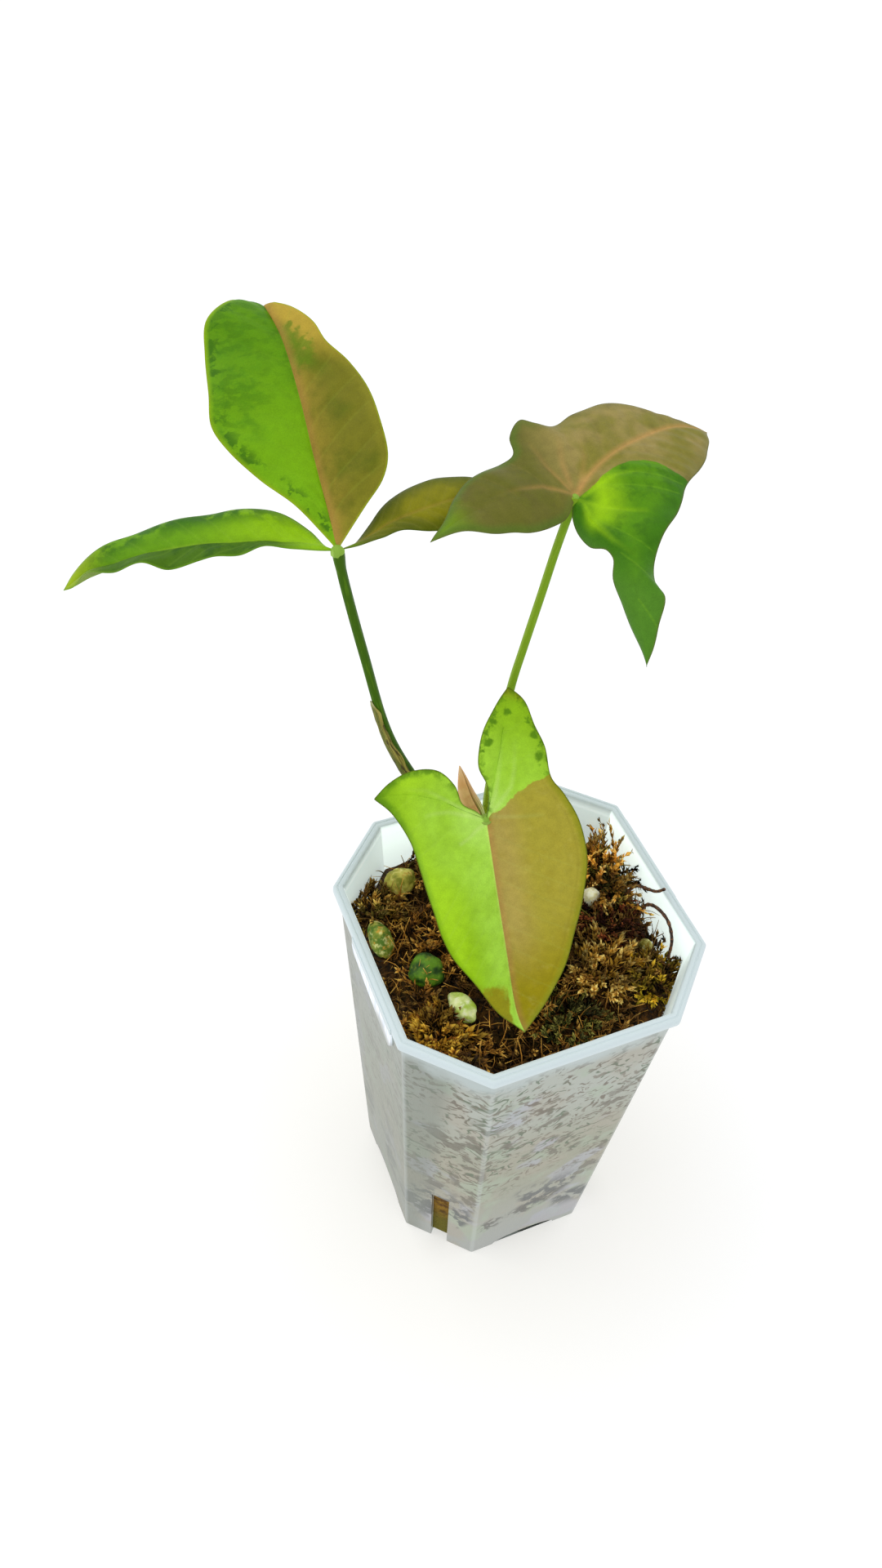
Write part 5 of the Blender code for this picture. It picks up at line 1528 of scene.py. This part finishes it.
class PlantMossSettings(bpy.types.PropertyGroup):
    fibres: IntProperty(
        name="Loose fibres", description="Fine curled fibres over the bed", default=1700, min=0, max=6000,
    )
    shoots: IntProperty(name="Shoots", description="Leafy shoots over the bed", default=700, min=0, max=3000)
    leaflet: length_setting("Leaflet", "Length of a moss leaflet", 2.9, 0.5, 4.0)
    strand: length_setting("Strand", "Radius of a moss stem", 0.2, 0.05, 0.5)
    brown: colour_setting("Brown", "Main colour of the loose moss", tone(148, 98, 28))
    # The straw tips are partly the moss's own pale tips and partly painted highlight.
    straw: colour_setting("Straw", "Worn tips of the loose moss", tone(218, 172, 78))


class PlantPotSettings(bpy.types.PropertyGroup):
    plastic: colour_setting("Plastic", "Milky plastic where it is clear of the moss", tone(205, 218, 220))


class PlantStageSettings(bpy.types.PropertyGroup):
    floor: colour_setting("Floor", "Colour of the studio floor", (0.53, 0.535, 0.545))
    sky: FloatProperty(
        name="Sky light", description="Strength of the even light from all round", default=1.0, min=0, max=3,
    )
    lamp: FloatProperty(
        name="Lamp", description="Power of the soft lamp", default=3.0, min=0, max=100,
        subtype="POWER", unit="POWER",
    )
    lens: FloatProperty(
        name="Lens", description="Focal length of the camera", default=27.17, min=10, max=200,
        subtype="DISTANCE_CAMERA",
    )


# ---------------------------------------------------------------- operators


class PlantPiece(bpy.types.Operator):
    """Makes one piece or one group of like pieces"""

    bl_options = {"REGISTER", "UNDO"}


class PLANT_OT_pot(PlantPiece):
    """Make the milky pot with its rim, tabs, drain slits and channels"""

    bl_idname = "plant.pot"
    bl_label = "Pot"

    def execute(self, context):
        show(pot_mesh(), pot_finish(context.scene.plant_pot), "pot_plastic", "pot")
        return {"FINISHED"}


class PLANT_OT_moss_ground(PlantPiece):
    """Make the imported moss: an octagonal plug whose top is a rough mound"""

    bl_idname = "plant.moss_ground"
    bl_label = "Packed moss"

    def execute(self, context):
        foot = rounded_octagon(inner_half(MOSS_FOOT) - MOSS_GAP, INNER_CUT, 0.8, 4, 14)
        shoulder = rounded_octagon(inner_half(MOSS_LEVEL - 4) - MOSS_GAP, INNER_CUT, 0.8, 4, 14)
        rings = [np.column_stack([foot, np.full(len(foot), MOSS_FOOT)])]
        for share in np.concatenate([[1.0, 0.995], np.linspace(0.98, 0.02, 90)]):
            x, y = (shoulder * share).T
            level = bed_level(x, y)
            rough = 0.7 * ripple(np.column_stack([x, y, level]), 5.0, 3, 4) * step(1.0, 0.95, share)
            rings.append(np.column_stack([x, y, level + rough - 2.5 * step(0.93, 1.0, share)]))
        show(put_mesh("packed_moss", *loft(rings)), ground_finish(), "brown_moss", "moss_bed")
        return {"FINISHED"}


class PLANT_OT_moss_strands(PlantPiece):
    """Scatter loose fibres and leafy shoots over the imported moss"""

    bl_idname = "plant.moss_strands"
    bl_label = "Loose moss"

    def execute(self, context):
        moss = context.scene.plant_moss
        leaflet, strand = moss.leaflet / MM, moss.strand / MM
        for name, seed, count, lengths, lean, leaflets in (
            ("loose_fibres", 5, moss.fibres, (4.0, 11.0), 0.45, 0),
            ("leafy_shoots", 9, moss.shoots, (3.5, 7.5), 0.9, 11),
        ):
            rng = np.random.default_rng(seed)
            hubs = SHOOT_HUBS if leaflets else count
            k = np.arange(hubs)
            away = SCATTER_REACH * np.sqrt((k + 0.5) / hubs)
            hub = np.column_stack([away * np.cos(k * GOLDEN_ANGLE), away * np.sin(k * GOLDEN_ANGLE)])
            hub = hub + rng.normal(0, 1.0, (hubs, 2))
            which = np.arange(count) % hubs
            apart = rng.normal(0, 1.5 if leaflets else 0.1, (count, 2))
            root = inside_pot(np.column_stack([hub[which] + apart, np.zeros(count)]), ROOT_GAP)
            tint = (which * GOLDEN_SHARE) % 1.0 * 0.8 + rng.random(count) * 0.2
            clear = np.hypot(root[:, 0] - STEM[0], root[:, 1] - STEM[1]) > STEM_CLEARANCE
            for centre, radii, *_ in PEBBLES.values():
                clear &= np.hypot(root[:, 0] - centre[0], root[:, 1] - centre[1]) > max(radii[:2]) * 0.8
            root, apart, tint = root[clear], apart[clear], tint[clear]
            count = len(root)
            root[:, 2] = bed_level(root[:, 0], root[:, 1]) - 0.6
            heading = rng.normal(size=(count, 3))
            heading[:, 2] = np.abs(heading[:, 2]) * lean + 0.15 + lean * 0.5
            if leaflets:
                heading[:, :2] = apart * 0.5 + heading[:, :2] * 0.2
                heading[:, 2] = rng.uniform(0.6, 1.1, count)
            by_wall = step(0.78, 1.0, inside_reach(root[:, 0], root[:, 1], 0.0))
            heading[:, :2] -= root[:, :2] * (by_wall * 0.05)[:, None]
            long = rng.uniform(*lengths, count)
            bend = rng.uniform(-3.4, 3.4, count)
            radius = strand * rng.uniform(0.6, 1.2, count)
            strands = shoots(rng, root, heading, long, bend, radius, leaflets, leaflet, tint)
            made = put_strands(name, strands)
            # The near-black root tone is partly painted shade deep in the moss; the straw tip is partly
            # painted highlight.
            tones = (26, 15, 6), moss.brown, moss.straw, (104, 96, 30)
            show(made, strand_finish(name + "_finish", *tones), "brown_moss", "moss_bed")
        return {"FINISHED"}


# Tones of each tuft's shoots: at the root, in the middle, at the tip, and of the odd shoots. The
# dark root tones are partly painted shade deep in the tuft, the pale tip tones partly painted highlight.
TUFT_TONES = {
    "moss_rust": ((104, 60, 16), (230, 168, 58), (252, 226, 132), (206, 138, 42)),
    "moss_red": ((24, 7, 3), (108, 46, 16), (180, 102, 50), (66, 24, 10)),
    "moss_gold": ((52, 32, 10), (206, 156, 56), (248, 220, 128), (158, 120, 36)),
    "moss_olive": ((56, 38, 6), (198, 152, 26), (238, 196, 56), (160, 138, 22)),
    "moss_green": ((20, 20, 6), (88, 84, 26), (160, 150, 70), (62, 66, 18)),
    "moss_amber": ((50, 28, 6), (176, 126, 24), (226, 182, 60), (136, 82, 18)),
    "moss_sage": ((50, 32, 8), (190, 138, 44), (236, 198, 100), (142, 122, 36)),
    "moss_tan": ((40, 26, 8), (156, 116, 46), (212, 178, 96), (118, 96, 34)),
}


class PLANT_OT_moss_tufts(PlantPiece):
    """Make the eight tufts of coloured moss, each a dome of leafy shoots that lean out of it"""

    bl_idname = "plant.moss_tufts"
    bl_label = "Moss tufts"

    def execute(self, context):
        moss = context.scene.plant_moss
        for seed, (name, (place, seat, radius, count, length, leaf, slot)) in enumerate(TUFTS.items(), 3):
            rng = np.random.default_rng(seed)
            k = np.arange(count)
            share = np.sqrt((k + 0.5) / count)
            away = radius * 0.95 * share
            angle = k * GOLDEN_ANGLE
            root = np.column_stack([
                place[0] + away * np.cos(angle), place[1] + away * np.sin(angle), np.full(count, seat - 0.3)
            ])
            root = inside_pot(root, ROOT_GAP)
            for centre, radii, *_ in PEBBLES.values():
                off, reach = root[:, :2] - np.array(centre[:2]), max(radii[:2]) * 1.25
                away = np.hypot(*off.T)
                close = away < reach
                root[close, :2] += off[close] * (reach / away[close] - 1.0)[:, None]
            lean = 0.1 + 0.9 * share
            spin = angle + rng.uniform(-0.7, 0.7, count)
            heading = [np.sin(lean) * np.cos(spin), np.sin(lean) * np.sin(spin), np.cos(lean)]
            long = length * rng.uniform(0.5, 1.05, count)
            bend = rng.uniform(-1.3, 1.3, count)
            wide = np.full(count, moss.strand / MM * 1.3)
            leaf = leaf * moss.leaflet / MM / TABLE_LEAFLET
            strands = shoots(rng, root, np.column_stack(heading), long, bend, wide, TUFT_LEAFLETS, leaf)
            made = put_strands(name + "_tuft", strands)
            show(made, strand_finish(name + "_finish", *TUFT_TONES[name]), slot, name)
        return {"FINISHED"}


# Tones of each pebble: its body, its dark growth, its grit and its stains, then how much grit it has.
PEBBLE_TONES = {
    "lump_algae": ((92, 136, 16), (26, 62, 4), (190, 208, 100), (130, 142, 30), 0.36),
    "lump_pale": ((230, 236, 166), (166, 194, 56), (240, 242, 210), (196, 204, 110), 0.5),
    "lump_mottled": ((170, 168, 60), (72, 104, 12), (232, 224, 156), (216, 150, 50), 0.5),
    "lump_green": ((196, 186, 78), (120, 124, 28), (226, 216, 136), (176, 136, 50), 0.45),
    "lump_white": ((252, 250, 206), (216, 208, 142), (255, 255, 232), (226, 214, 150), 0.6),
    "lump_small": ((206, 200, 116), (132, 122, 44), (232, 228, 166), (166, 142, 62), 0.5),
}


class PLANT_OT_pebbles(PlantPiece):
    """Make the six pumice pebbles, as balls pushed in and out by waves and pits"""

    bl_idname = "plant.pebbles"
    bl_label = "Pebbles"

    def execute(self, context):
        for seed, (name, (centre, radii, turn, slot)) in enumerate(PEBBLES.items()):
            points, faces, values = ball(49, 72)
            x, y, z = points.T
            swell = 1 + 0.08 * np.sin(3.1 * x + seed) + 0.07 * np.sin(4.3 * y + 2 * seed) * np.cos(3.7 * z)
            pits = 0.05 * step(0.5, 1.0, ripple(points, 0.5, seed + 40, 2))
            swell = swell + 0.035 * ripple(points, 0.8, seed, 4) - pits
            points = points * swell[:, None] * np.array(radii)
            points = turned((points, [], {}), turn)[0] + np.array(centre)
            made = put_mesh(name + "_stone", points, faces, values)
            show(made, pebble_finish(name + "_skin", *PEBBLE_TONES[name]), slot, name)
        return {"FINISHED"}


# Each petiole: its path, its radii, and its skin's tones: the body, low down, the highlight, the speckle.
PETIOLES = {
    "left_petiole": (LEFT_PETIOLE, LEFT_RADII, ((58, 94, 6), (48, 80, 6), (100, 140, 24), (36, 60, 6))),
    "right_petiole": (
        RIGHT_PETIOLE, RIGHT_RADII, ((120, 156, 28), (130, 152, 22), (150, 180, 60), (58, 88, 10)),
    ),
    "front_petiole": (
        FRONT_PETIOLE, FRONT_RADII, ((140, 170, 70), (96, 120, 30), (170, 196, 100), (66, 92, 20)),
    ),
}
STEM_TONES = (120, 150, 50), (150, 130, 70), (160, 184, 90), (80, 90, 30)
KNOT_TONES = (130, 168, 60), (110, 150, 40), (170, 204, 100), (80, 120, 24)


def petiole_radius(radii, t):
    """Wide where it clasps the stem, then narrow and even."""
    wide, narrow = radii
    return narrow + (wide - narrow) * np.maximum(0.0, 1 - t * 1.6) ** 1.4


class PLANT_OT_stalks(PlantPiece):
    """Make the stem and the three petioles, each a ribbed tube with a swelling under its blade"""

    bl_idname = "plant.stalks"
    bl_label = "Stem and petioles"

    def execute(self, context):
        def ribs(t, angle):
            groove = 0.10 * np.exp(-((np.cos(angle) - 1) ** 2) / 0.02)
            return 1 + 0.03 * np.sin(9 * angle + 3 * t) + 0.02 * np.sin(23 * angle) - groove

        def stem_radius(t):
            ends = 0.8 + 0.2 * step(0, 0.15, t) - 0.4 * step(0.93, 1.0, t)
            return STEM_RADIUS * (ends + 0.05 * np.sin(t * 60) * step(0.8, 0.85, t))

        for name, (path, radii, tones) in PETIOLES.items():
            swell = lambda t: petiole_radius(radii, t) * (1 + 0.22 * step(0.955, 0.99, t))
            made = put_mesh(name + "_stalk", *tube(path, swell, 28, 120, ribs))
            show(made, stalk_finish(name + "_skin", *tones), name, name)
        path = [(*STEM, z) for z in (STEM_FOOT, 90.0, STEM_TOP)]
        parts = [tube(path, stem_radius, 28, 80, ribs)]
        for i in range(ROOTS):
            angle = 2 * math.pi * i / ROOTS + 0.4
            out = np.array([math.cos(angle), math.sin(angle), 0.0])
            start = np.array([*STEM, STEM_FOOT + 3.0]) + out * 0.5
            middle = start + out * ROOT_LENGTH * 0.22 + (0, 0, -ROOT_LENGTH * 0.42)
            end = start + out * ROOT_LENGTH * 0.3 + (0, 0, -ROOT_LENGTH)
            parts.append(tube([start, middle, end], lambda t: ROOT_RADIUS * (1 - 0.5 * t), 10, 24))
        made = put_mesh("stem_and_roots", *join(parts))
        show(made, stalk_finish("stem_skin", *STEM_TONES), "green_stem", "stem")
        return {"FINISHED"}


class PLANT_OT_sheath(PlantPiece):
    """Make the dry sheath that lies open along the lower half of the left petiole"""

    bl_idname = "plant.sheath"
    bl_label = "Dry sheath"

    def execute(self, context):
        low, high = SHEATH_SPAN
        rows, columns = 110, 31
        t = np.linspace(low, high, rows)
        line = smooth_curve(LEFT_PETIOLE, t)
        ahead = unit(np.gradient(line, axis=0))
        outer = np.array([-0.93, -0.28, 0.0])
        outer = unit(outer - ahead * (ahead @ outer)[:, None])
        across = unit(np.cross(ahead, outer))
        u = np.linspace(0, 1, rows)
        spread = math.radians(SHEATH_SPREAD) * (1 - 0.35 * u**2.2) * (1 - 0.8 * step(0.93, 1.0, u))
        spread = spread * (1 + 0.08 * np.sin(u * 21) + 0.05 * np.sin(u * 47 + 1))
        angle = spread[:, None] * np.linspace(-1, 1, columns)[None]
        curl = 0.12 * np.abs(np.linspace(-1, 1, columns)) ** 6
        radius = petiole_radius(LEFT_RADII, t)[:, None] + SHEATH_HUG + curl[None] + 0.5 * (1 - u[:, None])
        out = np.cos(angle)[..., None] * outer[:, None] + np.sin(angle)[..., None] * across[:, None]
        grid = line[:, None] + radius[..., None] * out
        grid = grid + 0.05 * ripple(grid, 3.0, 8, 3)[..., None] * outer[:, None]
        points = grid.reshape(-1, 3)
        triangles = halved(grid_faces(rows, columns))
        normals = point_normals(points, triangles)
        if (normals * (points - np.repeat(line, columns, 0))).sum() < 0:
            triangles, normals = triangles[:, ::-1], -normals
        thick = np.full(len(points), SHEATH_SKIN)
        values = {"along": np.repeat(t, columns), "around": np.tile(np.linspace(0, 1, columns), rows)}
        made = put_mesh("dry_sheath", *two_faced(points, triangles, normals, thick, values))
        show(made, sheath_finish(), "papery_sheath", "left_sheath")
        return {"FINISHED"}


class PLANT_OT_new_leaf(PlantPiece):
    """Make the rolled new leaf: a tapering roll whose outer edge overlaps as a flap"""

    bl_idname = "plant.new_leaf"
    bl_label = "Rolled leaf"

    def execute(self, context):
        def radius(t):
            full = 0.8 + 0.62 * step(0.3, 0.72, t)
            return NEW_LEAF_RADIUS * full * (1 - 0.95 * np.clip((t - 0.62) / 0.38, 0, 1) ** 1.7)

        def roll(t, angle):
            oval = 1 - 0.25 * np.sin(angle) ** 2
            flap = 0.12 * step(2.37, 2.6, angle) * step(5.0, 4.6, angle)
            return oval + flap - 0.10 * np.exp(-((angle - 2.495) ** 2) / 0.006) + 0.012 * np.sin(31 * angle)

        made = put_mesh("rolled_leaf", *tube(NEW_LEAF, radius, 72, 110, roll))
        show(made, rolled_finish(), "rolled_leaf", "new_leaf")
        return {"FINISHED"}


class PLANT_OT_wiry_roots(PlantPiece):
    """Make the dark arching root and the twig beside it, both knotted along their length"""

    bl_idname = "plant.wiry_roots"
    bl_label = "Wiry roots"

    def execute(self, context):
        skin = wiry_finish()
        knots = lambda t: 0.92 + 0.16 * np.sin(t * 37) ** 4 + 0.06 * np.sin(t * 91)
        for name, path, cad in (("arching_root", WIRY_ROOT, "wiry_root"), ("bare_twig", TWIG, "moss_twig")):
            made = put_mesh(name, *tube(path, lambda t: WIRY_RADIUS * (1 - 0.25 * t) * knots(t), 14, 90))
            show(made, skin, "wiry_root", cad)
        return {"FINISHED"}


# Each blade: its outline, joint, steps along and across it, drawn veins, colour bound, node and paint.
BLADES = {
    "front_blade": (
        FRONT_LEAF, FRONT_JOINT, (56, 130, 40), FRONT_VEINS, FRONT_BOUND, "front_leaf", front_paint,
    ),
    "right_blade": (
        RIGHT_LEAF, RIGHT_JOINT, (60, 120, 40), RIGHT_VEINS, RIGHT_BOUND, "right_leaf", right_paint,
    ),
    "centre_leaflet": (CENTRE_LEAFLET, LEFT_JOINT, (0, 150, 40), None, None, "left_leaf", centre_paint),
    "left_leaflet": (LEFT_LEAFLET, LEFT_JOINT, (0, 140, 32), None, None, "left_leaf", left_paint),
    "right_leaflet": (RIGHT_LEAFLET, LEFT_JOINT, (0, 120, 26), None, None, "left_leaf", small_paint),
}
KNOTS = {
    "front_knot": (FRONT_JOINT, "front_leaf", 0.8),
    "right_knot": (RIGHT_JOINT, "right_leaf", 0.8),
    "left_knot": (LEFT_JOINT, "left_leaf", 1.25),
}


class PLANT_OT_blades(PlantPiece):
    """Make the five blades and the knots where they meet their petioles"""

    bl_idname = "plant.blades"
    bl_label = "Blades"

    def execute(self, context):
        hues = context.scene.plant_blade
        for name, (shape, joint, steps, veins, bound, cad, paint) in BLADES.items():
            made = blade(name, shape, joint, steps, veins, bound, hues.ruffle / MM)
            show(made, blade_finish(name + "_skin", paint, hues), cad.replace("leaf", "blade"), cad)
        skin = stalk_finish("knot_skin", *KNOT_TONES)
        for name, (joint, cad, size) in KNOTS.items():
            points, faces, _ = ball(25, 36)
            values = {"along": np.full(len(points), 0.9), "around": (points[:, 0] + 1) / 2}
            points = points * size * (1 + 0.05 * ripple(points, 1.0, 4))[:, None] + np.array(joint)
            made = put_mesh(name, points - (0, 0, 0.3), faces, values)
            show(made, skin, cad.replace("leaf", "blade"), cad)
        return {"FINISHED"}


class PLANT_OT_stage(PlantPiece):
    """Set the camera, the white floor, the soft lamp and the even light"""

    bl_idname = "plant.stage"
    bl_label = "Stage"

    def execute(self, context):
        scene, stage = context.scene, context.scene.plant_stage
        lens = bpy.data.cameras.new("camera")
        lens.lens = stage.lens
        lens.clip_start = 0.01
        lens.clip_end = 30.0
        camera = bpy.data.objects.new("camera", lens)
        camera.location = (-0.078745, -0.128090, 0.317610)
        camera.rotation_euler = (0.727127, -0.045640, -0.377568)
        scene.collection.objects.link(camera)
        scene.camera = camera
        edge = 4000.0
        corners = [(-edge, -edge, -0.15), (edge, -edge, -0.15), (edge, edge, -0.15), (-edge, edge, -0.15)]
        floor = put_mesh("studio_floor", corners, [[(0, 1, 2, 3)]])
        floor.data.materials.append(floor_finish(stage))
        lamp_data = bpy.data.lights.new("soft_lamp", "AREA")
        lamp_data.shape = "DISK"
        lamp_data.size = 1.1
        lamp_data.energy = stage.lamp
        lamp_data.color = (1.0, 0.99, 0.97)
        lamp = bpy.data.objects.new("soft_lamp", lamp_data)
        lamp.location = (-0.45, 0.35, 1.15)
        aim = -lamp.location.normalized()
        lamp.rotation_euler = aim.to_track_quat("-Z", "Y").to_euler()
        scene.collection.objects.link(lamp)
        world = bpy.data.worlds.new("even_light")
        world.use_nodes = True
        sky = world.node_tree.nodes["Background"]
        sky.inputs["Color"].default_value = (0.975, 0.985, 1.0, 1.0)
        sky.inputs["Strength"].default_value = stage.sky
        scene.world = world
        scene.view_settings.view_transform = "Standard"
        return {"FINISHED"}


class PLANT_PT_pieces(bpy.types.Panel):
    """Lists the plant's settings and its operators"""

    bl_label = "Potted arrowhead plant"
    bl_idname = "PLANT_PT_pieces"
    bl_space_type = "VIEW_3D"
    bl_region_type = "UI"
    bl_category = "Plant"

    def draw(self, context):
        layout = self.layout
        for key in GROUPS:
            settings = getattr(context.scene, key)
            box = layout.box()
            for name in settings.__annotations__:
                box.prop(settings, name)
        for operator in OPERATORS:
            layout.operator(operator.bl_idname)


GROUPS = {
    "plant_blade": PlantBladeSettings,
    "plant_moss": PlantMossSettings,
    "plant_pot": PlantPotSettings,
    "plant_stage": PlantStageSettings,
}
OPERATORS = (
    PLANT_OT_stage, PLANT_OT_pot, PLANT_OT_moss_ground, PLANT_OT_moss_strands, PLANT_OT_moss_tufts,
    PLANT_OT_pebbles, PLANT_OT_stalks, PLANT_OT_sheath, PLANT_OT_new_leaf, PLANT_OT_wiry_roots,
    PLANT_OT_blades,
)


def register():
    for kind in (*GROUPS.values(), *OPERATORS, PLANT_PT_pieces):
        bpy.utils.register_class(kind)
    for key, kind in GROUPS.items():
        setattr(bpy.types.Scene, key, PointerProperty(type=kind))


def unregister():
    for key in GROUPS:
        delattr(bpy.types.Scene, key)
    for kind in reversed((*GROUPS.values(), *OPERATORS, PLANT_PT_pieces)):
        bpy.utils.unregister_class(kind)


def main():
    register()
    for operator in OPERATORS:
        family, name = operator.bl_idname.split(".")
        getattr(getattr(bpy.ops, family), name)()


if __name__ == "__main__":
    main()
